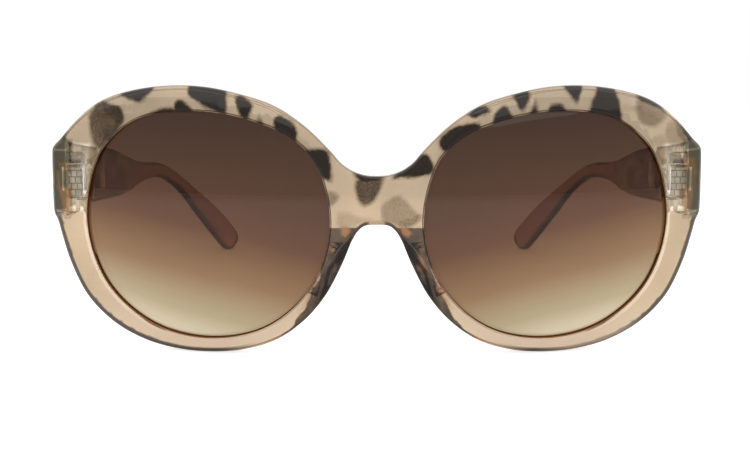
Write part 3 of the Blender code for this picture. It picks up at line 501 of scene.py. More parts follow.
def opening_loop(side, front, places, step=OPENING_STEP):
    """The lens opening's outline in X and Z, on one side."""
    points = [
        Vector((places.lens.x + x * front.lens_width / 2, places.lens.y + z * front.lens_height / 2))
        for x, z in OPENING_SHARES
    ]
    loop = curve_through(points, step, True)
    return [Vector((side * p.x, p.y)) for p in loop]


def half_outline(front, places):
    """The front's outline on the +X side, from the top of the bridge round to its underside."""
    loop = opening_loop(1, front, places, FRAME_STEP)

    def rim_point(angle, width):
        direction = Vector((math.cos(math.radians(angle)), math.sin(math.radians(angle))))
        nearest = max(loop, key=lambda p: (p - places.lens).normalized().dot(direction))
        return places.lens + direction * ((nearest - places.lens).length + width)

    half_gap = front.bridge_gap / 2
    depth = front.bridge_depth
    height = places.wall_half * 2
    points = [Vector((0, places.bridge_top))]
    points += [Vector((x * half_gap, places.bridge_top + z * depth)) for x, z in BRIDGE_TOP_SHARES]
    points += [rim_point(angle, part * front.brow_width) for angle, part in reversed(BROW_WIDTH_SHARES)]
    for x, z in END_CORNER_SHARES + END_FOOT_SHARES:
        points.append(Vector((places.opening_side + x * front.end_reach, places.end_z + z * height)))
    points += [rim_point(angle, part * front.rim_width) for angle, part in RIM_WIDTH_SHARES]
    points += [Vector((x * half_gap, places.bridge_underside + z * depth)) for x, z in BRIDGE_ARCH_SHARES]
    points.append(Vector((0, places.bridge_underside)))
    # The curve crosses the middle square to it, as its mirror image does
    top = Vector((-points[1].x, points[1].y))
    bottom = Vector((-points[-2].x, points[-2].y))
    curve = curve_through([top] + points + [bottom], OUTLINE_STEP, False)
    start = min(range(len(curve)), key=lambda i: (curve[i] - points[0]).length)
    end = min(range(len(curve)), key=lambda i: (curve[i] - points[-1]).length)
    return curve[start : end + 1]


def offset(loop, distance, share=None):
    """The loop moved by distance, times its share at each point, to the right of its own direction."""
    moved = []
    for i, p in enumerate(loop):
        along = (loop[(i + 1) % len(loop)] - loop[i - 1]).normalized()
        reach = distance * share(p) if share else distance
        moved.append(p + Vector((along.y, -along.x)) * reach)
    return moved


def inside(p, loop):
    """Whether the point lies within the closed loop."""
    hit = False
    for i, a in enumerate(loop):
        b = loop[i - 1]
        if (a.y > p.y) != (b.y > p.y) and p.x < (b.x - a.x) * (p.y - a.y) / (b.y - a.y) + a.x:
            hit = not hit
    return hit


def loft(bm, *rings):
    """Faces between rings of as many vertices, as one list for each pair of rings."""
    return [
        [bm.faces.new((a[i - 1], a[i], b[i], b[i - 1])) for i in range(len(a))]
        for a, b in zip(rings, rings[1:])
    ]


def fan(bm, ring, middle):
    """Faces from a ring to the vertex in its middle."""
    for i, v in enumerate(ring):
        bm.faces.new((ring[i - 1], v, middle))


def ease(part):
    """A soft rise from 0 to 1."""
    return part * part * (3 - 2 * part)


def shade(target):
    """Smooth shading with sharp corners kept."""
    target.data.shade_smooth()
    target.data.set_sharp_from_angle(angle=SMOOTH_ANGLE)


def finish_mesh(name, bm):
    """A smooth-shaded object of a finished mesh, with its faces turned outwards."""
    bmesh.ops.remove_doubles(bm, verts=bm.verts, dist=WELD)
    bmesh.ops.recalc_face_normals(bm, faces=bm.faces)
    mesh = bpy.data.meshes.new(name)
    bm.to_mesh(mesh)
    bm.free()
    made = bpy.data.objects.new(name, mesh)
    shade(made)
    bpy.context.scene.collection.objects.link(made)
    return made


def block(low, high):
    """A box between two corners."""
    bm = bmesh.new()
    bmesh.ops.create_cube(bm, size=1)
    for v in bm.verts:
        v.co = [a + (b - a) * (c + 0.5) for a, b, c in zip(low, high, v.co)]
    return bm


def side_block(side, low, high):
    """A box given on the +X side, on either side."""
    corners = sorted((side * low[0], side * high[0]))
    return block((corners[0], low[1], low[2]), (corners[1], high[1], high[2]))


def prism(profile, z_low, z_high):
    """An upright prism over a profile in X and Y."""
    bm = bmesh.new()
    lower, upper = ([bm.verts.new((x, y, z)) for x, y in profile] for z in (z_low, z_high))
    loft(bm, lower, upper)
    bm.faces.new(lower)
    bm.faces.new(upper)
    return bm


def circle(side, radius, sides):
    """Points on a circle round the axis of one hinge, in X and Y."""
    angles = [math.tau * i / sides for i in range(sides)]
    return [Vector((side * PIVOT_X + math.cos(a) * radius, PIVOT_Y + math.sin(a) * radius)) for a in angles]


def round_edges(target, width, segments=3):
    """Rounds the edges of a block or plate."""
    modifier = target.modifiers.new("Round", "BEVEL")
    modifier.width = width
    modifier.segments = segments
    modifier.limit_method = "ANGLE"
    modifier.angle_limit = SMOOTH_ANGLE


def apply_modifiers(target):
    """Turns the object's evaluated form into its own plain mesh."""
    graph = bpy.context.evaluated_depsgraph_get()
    mesh = bpy.data.meshes.new_from_object(target.evaluated_get(graph))
    target.modifiers.clear()
    old = target.data
    target.data = mesh
    bpy.data.meshes.remove(old)


def combine(target, bm, operation, rounding=0.0):
    """Joins a shape to the target, or cuts it out, and leaves a plain mesh."""
    helper = finish_mesh("helper", bm)
    if rounding:
        round_edges(helper, rounding)
    modifier = target.modifiers.new(operation.title(), "BOOLEAN")
    modifier.operation = operation
    modifier.object = helper
    modifier.solver = "EXACT"
    apply_modifiers(target)
    bpy.data.objects.remove(helper)


def point_tree(points):
    """A tree for finding the nearest of these points in X and Z."""
    tree = KDTree(len(points))
    for i, p in enumerate(points):
        tree.insert((p.x, p.y, 0), i)
    tree.balance()
    return tree


def front_plate(front, places):
    """The moulded front as one closed mesh, which notes where each point lies for its paint.

    outer_near falls from 1 at the outer edge to 0 inside it, eye_edge runs up to 1 over the edge of an
    opening, front_side is 1 on the face, and across runs from 0 at the outer edge to 1 at an opening.
    """
    bm = bmesh.new()
    near_layer = bm.verts.layers.float.new("outer_near")
    eye_layer = bm.verts.layers.float.new("eye_edge")
    front_layer = bm.verts.layers.float.new("front_side")
    across_layer = bm.verts.layers.float.new("across")
    half = half_outline(front, places)
    outline = half + [Vector((-p.x, p.y)) for p in reversed(half[1:-1])]
    tree = point_tree(outline)
    eye_tree = point_tree([p for _, side in SIDES for p in opening_loop(side, front, places)])

    def pad_rise(x, z):
        part = (z - places.bridge_underside + front.pad_drop) / front.pad_length + 0.5
        if abs(x) > places.lens.x or not 0 < part < 1:
            return 0.0
        return front.pad_depth * math.sin(math.pi * part) ** 2

    def note(v, p, eye=0.0, facing=0.0):
        from_outer = tree.find((p.x, p.y, 0))[2]
        from_eye = eye_tree.find((p.x, p.y, 0))[2]
        v[near_layer] = max(0.0, 1 - from_outer / EDGE_REACH)
        v[eye_layer] = eye
        v[front_layer] = facing
        v[across_layer] = from_outer / (from_outer + from_eye)
        return v

    def place(p, depth, eye=0.0, facing=0.0):
        v = bm.verts.new((p.x, places.face + face_y(p.x, p.y, front) + depth, p.y))
        return note(v, p, eye, facing)

    def lifted(p, depth, rise, eye=0.0):
        v = place(p, depth + rise, eye)
        v.co.x += math.copysign(rise * math.tan(front.pad_splay), p.x)
        return v

    def raised(p, depth, eye=0.0):
        near, _, distance = tree.find((p.x, p.y, 0))
        rise = pad_rise(near.x, near.y) * ease(max(0.0, 1 - distance / front.pad_width))
        return lifted(p, depth, rise, eye)

    def back_ring(inset, depth, wall):
        verts = []
        for p, moved in zip(outline, offset(outline, inset)):
            if abs(p.x) > places.lens.x and abs(p.y - places.end_z) < places.wall_half + WELD:
                x, y = wall(abs(p.x), face_y(p.x, p.y, front))
                v = bm.verts.new((math.copysign(x, p.x), places.face + y, p.y))
                verts.append(note(v, p))
            else:
                verts.append(lifted(moved, depth, pad_rise(p.x, p.y)))
        return verts

    def fill(outer, openings, put):
        rings = [outer] + openings
        loops = [[Vector((v.co.x, v.co.z)) for v in ring] for ring in rings]
        points = [p for loop in loops for p in loop]
        verts = [v for ring in rings for v in ring]

        def within(p):
            return inside(p, loops[0]) and not any(inside(p, loop) for loop in loops[1:])

        edges = []
        for loop in loops:
            start = len(edges)
            edges += [(start + i, start + (i + 1) % len(loop)) for i in range(len(loop))]
        border = point_tree(points)
        columns = math.ceil(places.half_width / FACE_GRID)
        rows = math.ceil(max(p.y for p in loops[0]) / FACE_GRID)
        for row in range(rows):
            for column in range(-columns, columns + 1):
                p = Vector(((column + row % 2 / 2) * FACE_GRID, row * FACE_GRID))
                if border.find((p.x, p.y, 0))[2] >= FACE_GRID / 2 and within(p):
                    points.append(p)
                    verts.append(put(p))
        found, _, triangles, origins, _, _ = delaunay_2d_cdt(points, edges, [], 0, WELD)
        for triangle in triangles:
            if within(sum((found[i] for i in triangle), Vector((0, 0))) / 3):
                bm.faces.new([verts[origins[i][0]] for i in triangle])

    def bevel_share(p):
        """The bevel is narrow at the bridge and widens towards the brow."""
        part = min(1.0, max(0.0, (abs(p.x) - BRIDGE_BEVEL_END) / BRIDGE_BEVEL_END))
        return BRIDGE_BEVEL_SHARE + (1 - BRIDGE_BEVEL_SHARE) * ease(part)

    rings = []
    shares = [bevel_share(p) for p in outline]
    for inset, depth in EDGE_SHARES:
        loop = offset(outline, inset * front.bevel_width, bevel_share)
        rings.append([place(p, depth * front.bevel_depth * s, facing=1.0) for p, s in zip(loop, shares)])
    rings.append([place(p, EDGE_PAINT_END) for p in outline])
    butt = front.butt_depth - front.butt_gap / 2
    depth = front.rim_depth
    soft = front.back_round
    arc = [(soft * (1 - math.cos(a)), soft * (1 - math.sin(a))) for a in (0, math.pi / 6, math.pi / 3)]
    for inset, lift in arc:
        to_butt = (lambda x, y: (places.end_inner_x, butt)) if inset else (lambda x, y: (x, butt))
        rings.append(back_ring(inset, depth - lift, to_butt))
    rings.append(back_ring(soft, depth, lambda x, y: (places.end_inner_x, y + depth)))
    loft(bm, *rings)

    lens = bpy.context.scene.sunglasses_lens
    chamfer = front.eye_chamfer
    groove_front = lens.seat - lens.thickness / 2 - lens.clearance
    groove_back = lens.seat + lens.thickness / 2 + lens.clearance
    wall = (
        (LIP_REACH, 0, 0.0),
        (chamfer, 0, 0.30),
        (chamfer * 0.35, chamfer * 0.3, 0.45),
        (0, chamfer, WALL_START),
        (0, groove_front, 1.0),
        (front.groove_depth, groove_front, 1.0),
        (front.groove_depth, groove_back, 1.0),
        (0, groove_back, 1.0),
        (0, depth - chamfer, WALL_START),
        (chamfer * 0.35, depth - chamfer * 0.3, 0.35),
        (chamfer, depth, 0.0),
    )
    eyes = []
    for _, side in SIDES:
        # A loop turns the other way round on the mirrored side
        loop = opening_loop(side, front, places)
        eye = [
            [raised(p, y, e) if y > lens.seat else place(p, y, e, 1.0) for p in offset(loop, side * inset)]
            for inset, y, e in wall
        ]
        loft(bm, *eye)
        eyes.append(eye)
    fill(rings[0], [eye[0] for eye in eyes], lambda p: place(p, 0, facing=1.0))
    fill(rings[-1], [eye[-1] for eye in eyes], lambda p: raised(p, depth))
    return bm


def clear_marks(target, name, belongs):
    """Sets a mark to 0 on the points that belong to a cut or a boss, which copies marks from elsewhere."""
    marks = target.data.attributes[name].data
    for mark, vertex in zip(marks, target.data.vertices):
        if belongs(vertex.co):
            mark.value = 0.0


def coat(target, *materials):
    """Gives a piece these materials and no others, with the first on every face."""
    target.data.materials.clear()
    for material in materials:
        target.data.materials.append(material)
    for face in target.data.polygons:
        face.material_index = 0


def paint_walls(target, skin, wall_skin):
    """Gives the walls of the openings the second material, and all else the first."""
    coat(target, skin, wall_skin)
    marks = target.data.attributes["eye_edge"].data
    for face in target.data.polygons:
        mark = sum(marks[i].value for i in face.vertices) / len(face.vertices)
        face.material_index = int(mark > WALL_START)


def half_stack(hinge):
    """Half the height of the three knuckles with their gaps."""
    return 1.5 * hinge.knuckle_height + hinge.knuckle_gap


def barrel_space(side, hinge):
    """The round recess that clears the knuckles and the screw head."""
    half = half_stack(hinge)
    low = PIVOT_Z - half - hinge.barrel_clearance
    high = PIVOT_Z + half + hinge.knuckle_gap + hinge.head_height + hinge.barrel_clearance
    radius = hinge.barrel_radius + hinge.barrel_clearance
    return prism(circle(side, radius, BARREL_SIDES), low, high)


def add_hinge_bosses(target, side, front, hinge, places):
    """The blocks behind an end piece, and their pockets for the hinge leaf."""
    inner = places.end_inner_x - hinge.boss_width
    outer = places.end_inner_x + OVERRUN
    half = hinge.boss_height / 2
    deep = places.face + face_y(inner, PIVOT_Z, front) + front.rim_depth - front.back_round
    low_back = PIVOT_Y - hinge.shoulder_setback
    blocks = (
        ((inner, deep, PIVOT_Z - half), (outer, PIVOT_Y - hinge.boss_setback, PIVOT_Z + half)),
        ((inner + hinge.boss_round, deep, PIVOT_Z + half - OVERRUN),
         (outer, low_back, PIVOT_Z + half + hinge.shoulder_height)),
        ((places.end_inner_x - hinge.rib_width, deep, PIVOT_Z - half - hinge.rib_height),
         (outer, low_back, PIVOT_Z - half + OVERRUN)),
    )
    for low, high in blocks:
        combine(target, side_block(side, low, high), "UNION", hinge.boss_round)
    gap = hinge.leaf_clearance
    leaf_in = PIVOT_X - hinge.barrel_radius
    leaf_out = leaf_in + hinge.leaf_thickness
    foot = PIVOT_Y - hinge.front_arm
    half_foot = hinge.foot_height / 2 + gap
    reach = half_stack(hinge) + gap
    pockets = (
        ((leaf_out - hinge.foot_width - gap, foot - gap, PIVOT_Z - half_foot),
         (leaf_out + gap, foot + hinge.leaf_thickness + gap, PIVOT_Z + half_foot)),
        ((leaf_in - gap, foot, PIVOT_Z - reach), (leaf_out + gap, PIVOT_Y, PIVOT_Z + reach)),
    )
    for low, high in pockets:
        combine(target, side_block(side, low, high), "DIFFERENCE")
    combine(target, barrel_space(side, hinge), "DIFFERENCE")


def temple_body(side, front, temple, places):
    """A temple: broad at the hinge, a thin neck, and a round drop behind the ear."""
    start = Vector((places.half_width - front.end_wall / 2, PIVOT_Y + front.butt_gap / 2, places.end_z))
    drop = places.end_z - temple.tip_height / 2
    keys = []
    for reach, fall, inset, butt, tip in TEMPLE_SHARES:
        place = start + Vector((-inset * temple.inset, reach * temple.reach, -fall * drop))
        height = temple.neck_height
        height += butt * (temple.height - height) + tip * (temple.tip_height - height)
        thickness = temple.neck_thickness + butt * (front.end_wall - temple.neck_thickness)
        # The two widths ride along as further coordinates, so one curve smooths all
        keys.append(Vector((*place, height, thickness)))
    stations = curve_through(keys, TEMPLE_STEP, False)

    bm = bmesh.new()
    up_layer = bm.verts.layers.float.new("up_share")

    def section(centre, height, thickness, along):
        across = along.cross(Vector((0, 0, 1))).normalized()
        upwards = across.cross(along).normalized()
        radius = min(temple.edge_round, MOST_ROUND * height, MOST_ROUND * thickness)
        verts = []
        for quarter, (sx, sz) in enumerate(((1, 1), (-1, 1), (-1, -1), (1, -1))):
            for step in range(CORNER_STEPS + 1):
                angle = math.pi / 2 * (quarter + step / CORNER_STEPS)
                a = sx * (thickness / 2 - radius) + math.cos(angle) * radius
                b = sz * (height / 2 - radius) + math.sin(angle) * radius
                p = centre + across * a + upwards * b
                v = bm.verts.new((side * p.x, p.y, p.z))
                v[up_layer] = b / (height / 2)
                verts.append(v)
        return verts

    sections = []
    for i, station in enumerate(stations):
        before = stations[max(i - 1, 0)].to_3d()
        after = stations[min(i + 1, len(stations) - 1)].to_3d()
        along = (after - before).normalized() if i else Vector((0, 1, 0))
        sections.append(section(station.to_3d(), station[3], station[4], along))
    middle = stations[-1].to_3d()
    along = (middle - stations[-2].to_3d()).normalized()
    tip_radius = temple.tip_height / 2
    for step in range(1, TIP_STEPS):
        angle = math.pi / 2 * step / TIP_STEPS
        reach = tip_radius * math.sin(angle)
        beyond = max(0, reach - tip_radius + temple.edge_round)
        thinned = temple.edge_round - math.sqrt(temple.edge_round**2 - beyond**2)
        thickness = temple.neck_thickness - 2 * thinned
        height = temple.tip_height * math.cos(angle)
        sections.append(section(middle + along * reach, height, thickness, along))
    loft(bm, *sections)
    bm.faces.new(sections[0])
    end = middle + along * tip_radius
    fan(bm, sections[-1], bm.verts.new((side * end.x, end.y, end.z)))
    return bm


def add_temple_boss(target, side, front, temple, hinge, places):
    """The boss inside a temple, and its pockets for the hinge leaf."""
    start = PIVOT_Y + temple.boss_start
    half = hinge.boss_height / 2
    low = (places.end_inner_x - temple.boss_width, start, PIVOT_Z - half)
    high = (places.end_inner_x + front.end_wall / 2, start + temple.boss_length, PIVOT_Z + half)
    combine(target, side_block(side, low, high), "UNION", hinge.boss_round)
    gap = hinge.leaf_clearance
    leaf_in = PIVOT_X - hinge.barrel_radius - gap
    leaf_out = PIVOT_X - hinge.barrel_radius + hinge.leaf_thickness + gap
    end_y = PIVOT_Y + hinge.temple_arm + gap
    anchor_y = PIVOT_Y + hinge.temple_arm - hinge.anchor_length - gap
    for y, height in ((PIVOT_Y, hinge.knuckle_height), (anchor_y, hinge.anchor_height)):
        half = height / 2 + gap
        pocket = side_block(side, (leaf_in, y, PIVOT_Z - half), (leaf_out, end_y, PIVOT_Z + half))
        combine(target, pocket, "DIFFERENCE")
    combine(target, barrel_space(side, hinge), "DIFFERENCE")


def lens_blank(side, front, lens, places):
    """A flat lens standing in X and Z, with its depth along Y.

    lens_edge marks the faces of its edge, and margin falls from 1 at the edge to 0 inside it.
    """
    bm = bmesh.new()
    edge_layer = bm.faces.layers.float.new("lens_edge")
    margin_layer = bm.verts.layers.float.new("margin")
    loop = opening_loop(side, front, places)
    reach = front.groove_depth - lens.clearance
    outer = offset(loop, side * reach)
    edge = offset(loop, side * (reach - lens.edge))
    near = lens.seat - lens.thickness / 2
    far = lens.seat + lens.thickness / 2
    centre = Vector((side * places.lens.x, places.lens.y))
    parts = [i / LENS_RINGS for i in range(LENS_RINGS - 1, 0, -1)]
    shrunk = [[centre + (p - centre) * part for p in edge] for part in parts]
    shrunk.insert(0, offset(loop, -side * LENS_MARGIN))

    def ring(points, depth, margin=0.0):
        made = [bm.verts.new((p.x, depth, p.y)) for p in points]
        for v in made:
            v[margin_layer] = margin
        return made

    rings = [ring(small, near) for small in reversed(shrunk)]
    first = len(rings)
    rings.append(ring(edge, near, 1.0))
    rings.append(ring(outer, near + lens.edge, 1.0))
    rings.append(ring(outer, far - lens.edge, 1.0))
    rings.append(ring(edge, far, 1.0))
    rings += [ring(small, far) for small in shrunk]
    for step, faces in enumerate(loft(bm, *rings)):
        for face in faces:
            face[edge_layer] = float(first <= step < first + 3)
    for end, depth in ((rings[0], near), (rings[-1], far)):
        fan(bm, end, bm.verts.new((centre.x, depth, centre.y)))
    return bm


class NodeBuilder:
    """Adds nodes to a tree and joins them, for short code."""

    def __init__(self, tree):
        self.tree = tree

    def feed(self, node, inputs):
        """Gives a node its inputs, each a value or another node's socket."""
        for key, value in inputs.items():
            if isinstance(value, bpy.types.NodeSocket):
                self.tree.links.new(value, node.inputs[key])
            else:
                node.inputs[key].default_value = value
        return node

    def add(self, kind, inputs=None, **settings):
        """The outputs of a new node with its settings and inputs."""
        node = self.tree.nodes.new(kind)
        for name, value in settings.items():
            setattr(node, name, value)
        return self.feed(node, inputs or {}).outputs

    def math(self, operation, *values, clamp=False):
        """The result of a Math node."""
        return self.add("ShaderNodeMath", dict(enumerate(values)), operation=operation, use_clamp=clamp)[0]

    def minus(self, a, b, clamp=False):
        """The first value less the second."""
        return self.math("SUBTRACT", a, b, clamp=clamp)

    def plus(self, first, *values):
        """The sum of several values."""
        for value in values:
            first = self.math("ADD", first, value)
        return first

    def times(self, first, *masks):
        """The product of several masks."""
        for mask in masks:
            first = self.math("MULTIPLY", first, mask)
        return first

    def vector(self, operation, *values):
        """The result of a Vector Math node."""
        outputs = self.add("ShaderNodeVectorMath", dict(enumerate(values)), operation=operation)
        return outputs["Value" if operation == "DOT_PRODUCT" else "Vector"]

    def combine(self, x=0.0, y=0.0, z=0.0):
        """A vector of three parts."""
        return self.add("ShaderNodeCombineXYZ", {0: x, 1: y, 2: z})[0]

    def split(self, vector):
        """The three parts of a vector."""
        return tuple(self.add("ShaderNodeSeparateXYZ", {0: vector}))

    def coords(self):
        """The object's own coordinates."""
        return self.add("ShaderNodeTexCoord")["Object"]

    def mark(self, name):
        """A mark that the mesh carries at its points."""
        return self.add("ShaderNodeAttribute", attribute_name=name)["Fac"]

    def noise(self, vector, scale, detail, distortion=0.0, output="Fac"):
        """A noise texture, as a value or as a colour."""
        inputs = {"Vector": vector, "Scale": scale, "Detail": detail, "Distortion": distortion}
        return self.add("ShaderNodeTexNoise", inputs)[output]

    def steps(self, value, low, high, to_low=0.0, to_high=1.0, smooth=True):
        """The value moved from one range to another, held at both ends."""
        inputs = {0: value, 1: low, 2: high, 3: to_low, 4: to_high}
        kind = "SMOOTHSTEP" if smooth else "LINEAR"
        return self.add("ShaderNodeMapRange", inputs, interpolation_type=kind, clamp=True)[0]

    def rise(self, value, low, high, to_low=0.0, to_high=1.0, smooth=True):
        """As steps, with the first range in millimetres."""
        return self.steps(value, low * MM, high * MM, to_low, to_high, smooth)

    def fall(self, value, until, end):
        """A mask in millimetres that closes from until to end."""
        return self.rise(value, until, end, 1.0, 0.0)

    def window(self, value, start, full, until, end):
        """A mask in millimetres that opens from start to full and closes from until to end."""
        return self.times(self.rise(value, start, full), self.fall(value, until, end))

    def mix(self, factor, a, b):
        """A mix of two colours, each a socket or three values."""
        a, b = (tone if isinstance(tone, bpy.types.NodeSocket) else (*tone, 1.0) for tone in (a, b))
        return self.add("ShaderNodeMix", {0: factor, 6: a, 7: b}, data_type="RGBA")[2]

    def coats(self, tone, *coats):
        """The colour under further ones, each given as its mask and itself."""
        for mask, coat in coats:
            tone = self.mix(mask, tone, coat)
        return tone

    def bump(self, height, strength, distance):
        """The normal over fine relief."""
        return self.add("ShaderNodeBump", {"Height": height, "Strength": strength, "Distance": distance})[0]

    def sight(self):
        """The Light Path outputs, and whether a ray is seen straight or through clear plastic."""
        path = self.add("ShaderNodeLightPath")
        return path, self.math("MAXIMUM", path["Is Camera Ray"], path["Is Transmission Ray"])

    def group(self, tree):
        """The outputs of a node group placed here."""
        return self.add("ShaderNodeGroup", node_tree=tree)

    def in_material(self, geometry, material):
        """Real geometry in one material."""
        real = self.add("GeometryNodeRealizeInstances", {0: geometry})[0]
        return self.add("GeometryNodeSetMaterial", {"Geometry": real, "Material": material})[0]


def node_group(name, kind, inputs, outputs):
    """An empty node group with its sockets, as (builder, sockets given, output node)."""
    tree = bpy.data.node_groups.new(name, kind)
    for sort, label, *default in inputs:
        socket = tree.interface.new_socket(label, in_out="INPUT", socket_type="NodeSocket" + sort)
        if default:
            socket.default_value = default[0]
    for sort, label in outputs:
        tree.interface.new_socket(label, in_out="OUTPUT", socket_type="NodeSocket" + sort)
    build = NodeBuilder(tree)
    return build, build.add("NodeGroupInput"), tree.nodes.new("NodeGroupOutput")


SPOT_ROUNDING = 1.25 * MM
SPOT_SOFTNESS = 0.65 * MM
ROUNDING_LOSS = 0.25  # how far rounding the corners draws a polygon's outline in
# What makes a spot's outline waver: the noise's scale, its detail and how far it moves the outline
PRINT_WAVER = ((260.0, 1.0, 1.5 * MM), (1900.0, 2.0, 0.5 * MM))
PLASTIC_IOR = 1.49
PLASTIC_GLOSS = 0.3
LENS_IOR = 1.45
LENS_GLOSS = 0.22
EDGE_GLOSS = 0.15
RELIEF = (0.05, 0.2 * MM)  # how strong and how deep the plastic's relief is
FLECK = (0.75, 0.5 * MM, 0.4 * MM)  # strength, rounding and softness of an amber fleck
# Painted glow: emission from the painted shade, light and highlight patches of the ends
PAINTED_END_GLOW = (0.6, 0.35, 0.15)  # how much light olive, gold and bright patches scatter
WHITE = (1.0, 1.0, 1.0)
BLACK = (0.0, 0.0, 0.0)


def scaled(tone, part):
    """The colour made darker or brighter."""
    return tuple(value * part for value in tone)


def polygon_mask(build, point, corners, strength, rounding, softness):
    """A soft mask of a polygon with rounded corners. point holds across, up and 1 in metres."""
    middle = Vector((sum(c[0] for c in corners), sum(c[1] for c in corners))) / len(corners) * MM
    deep = None
    for i, corner in enumerate(corners):
        a = Vector(corners[i - 1]) * MM
        b = Vector(corner) * MM
        normal = Vector((b.y - a.y, a.x - b.x)).normalized()
        if (middle - a).dot(normal) > 0:
            normal.negate()
        edge = build.vector("DOT_PRODUCT", point, (normal.x, normal.y, -normal.dot(a)))
        deep = edge if deep is None else build.math("SMOOTH_MAX", deep, edge, rounding)
    edge = rounding * ROUNDING_LOSS
    return build.steps(deep, edge - softness, edge + softness, strength, 0.0)


def print_group(name, spots, plane):
    """A group that puts out how dense the print is, from a table of spots in one plane."""
    build, _, out = node_group(name, "ShaderNodeTree", (), [("Float", "Density")])
    axes = build.split(build.coords())
    # Noise in the print's own plane, so that a spot looks the same through both faces
    flat = build.combine(axes[plane[0]], axes[plane[1]])
    point = flat
    for scale, detail, reach in PRINT_WAVER:
        drift = build.vector("SUBTRACT", build.noise(flat, scale, detail, output="Color"), (0.5, 0.5, 0.5))
        point = build.vector("ADD", point, build.vector("MULTIPLY", drift, (reach, reach, 0.0)))
    point = build.vector("ADD", point, (0.0, 0.0, 1.0))
    dense = None
    for strength, corners in spots:
        mask = polygon_mask(build, point, corners, strength, SPOT_ROUNDING, SPOT_SOFTNESS)
        dense = mask if dense is None else build.math("MAXIMUM", dense, mask)
    # Thin print is grainy, and dense print is even
    grain = build.steps(build.noise(flat, 3200.0, 2.0), 0.3, 0.7, -0.13, 0.13, smooth=False)
    cloud = build.steps(build.noise(flat, 300.0, 2.0), 0.3, 0.7, -0.045, 0.045, smooth=False)
    room = build.times(dense, build.minus(1.15, dense), 3.0)
    spread = build.times(build.plus(grain, cloud), room)
    build.feed(out, {0: build.math("ADD", dense, spread, clamp=True)})
    return build.tree


def plastic_group(finish):
    """The plain plastic: milky peach with faint flow lines, and its shine."""
    build, given, out = node_group(
        "Milky plastic", "ShaderNodeTree", [("Float", "Flow", 1.0)],
        [("Color", "Color"), ("Float", "Roughness"), ("Float", "Height")],
    )
    coords = build.coords()
    cloud = build.steps(build.noise(coords, 55.0, 2.0), 0.35, 0.7)
    lines = build.noise(build.vector("MULTIPLY", coords, (0.05, 0.05, 1.0)), 2200.0, 3.0)
    streak = build.times(build.steps(lines, 0.45, 0.75, 0.0, 0.16), given[0])
    tone = build.mix(cloud, finish.plastic, scaled(finish.plastic, 1.2))
    build.feed(out, {
        0: build.mix(streak, tone, scaled(finish.plastic, 0.72)),
        1: build.steps(build.noise(coords, 900.0, 4.0), 0.4, 0.8, 0.045, 0.12),
        2: build.noise(coords, 140.0, 1.0),
    })
    return build.tree


def tortoise_group(finish):
    """Dark tortoise with small dim amber flecks."""
    build, _, out = node_group("Tortoise", "ShaderNodeTree", (), [("Color", "Color")])
    x, _, z = build.split(build.coords())
    flat = build.combine(x, z)
    smoke = build.steps(build.noise(flat, 240.0, 3.0), 0.38, 0.68)
    blotch = build.steps(build.noise(flat, 330.0, 2.0, 0.5), 0.62, 0.74, 0.0, 0.5)
    warm = build.mix(smoke, finish.tortoise, scaled(finish.tortoise, 1.9))
    build.feed(out, {0: build.mix(blotch, warm, finish.amber)})
    return build.tree


def new_material(name):
    """A material with a bare Principled shader, as (material, builder, shader)."""
    made = bpy.data.materials.new(name)
    made.use_nodes = True
    return made, NodeBuilder(made.node_tree), made.node_tree.nodes["Principled BSDF"]


def printed_tone(build, density, base, finish):
    """The base colour under a print of this density."""
    thin = build.steps(density, 0.0, 0.6, smooth=False)
    dense = build.steps(density, 0.5, 0.82, smooth=False)
    return build.coats(base, (thin, finish.print_taupe), (dense, finish.print_dark))


def feed_plastic(build, shader, base, tone, clearness):
    """What the shaders of the front and the temples share: shine, relief and clearness."""
    build.feed(shader, {
        "Base Color": tone,
        "Roughness": base["Roughness"],
        "Normal": build.bump(base["Height"], *RELIEF),
        "Transmission Weight": clearness,
        "IOR": PLASTIC_IOR,
        "Specular IOR Level": PLASTIC_GLOSS,
    })


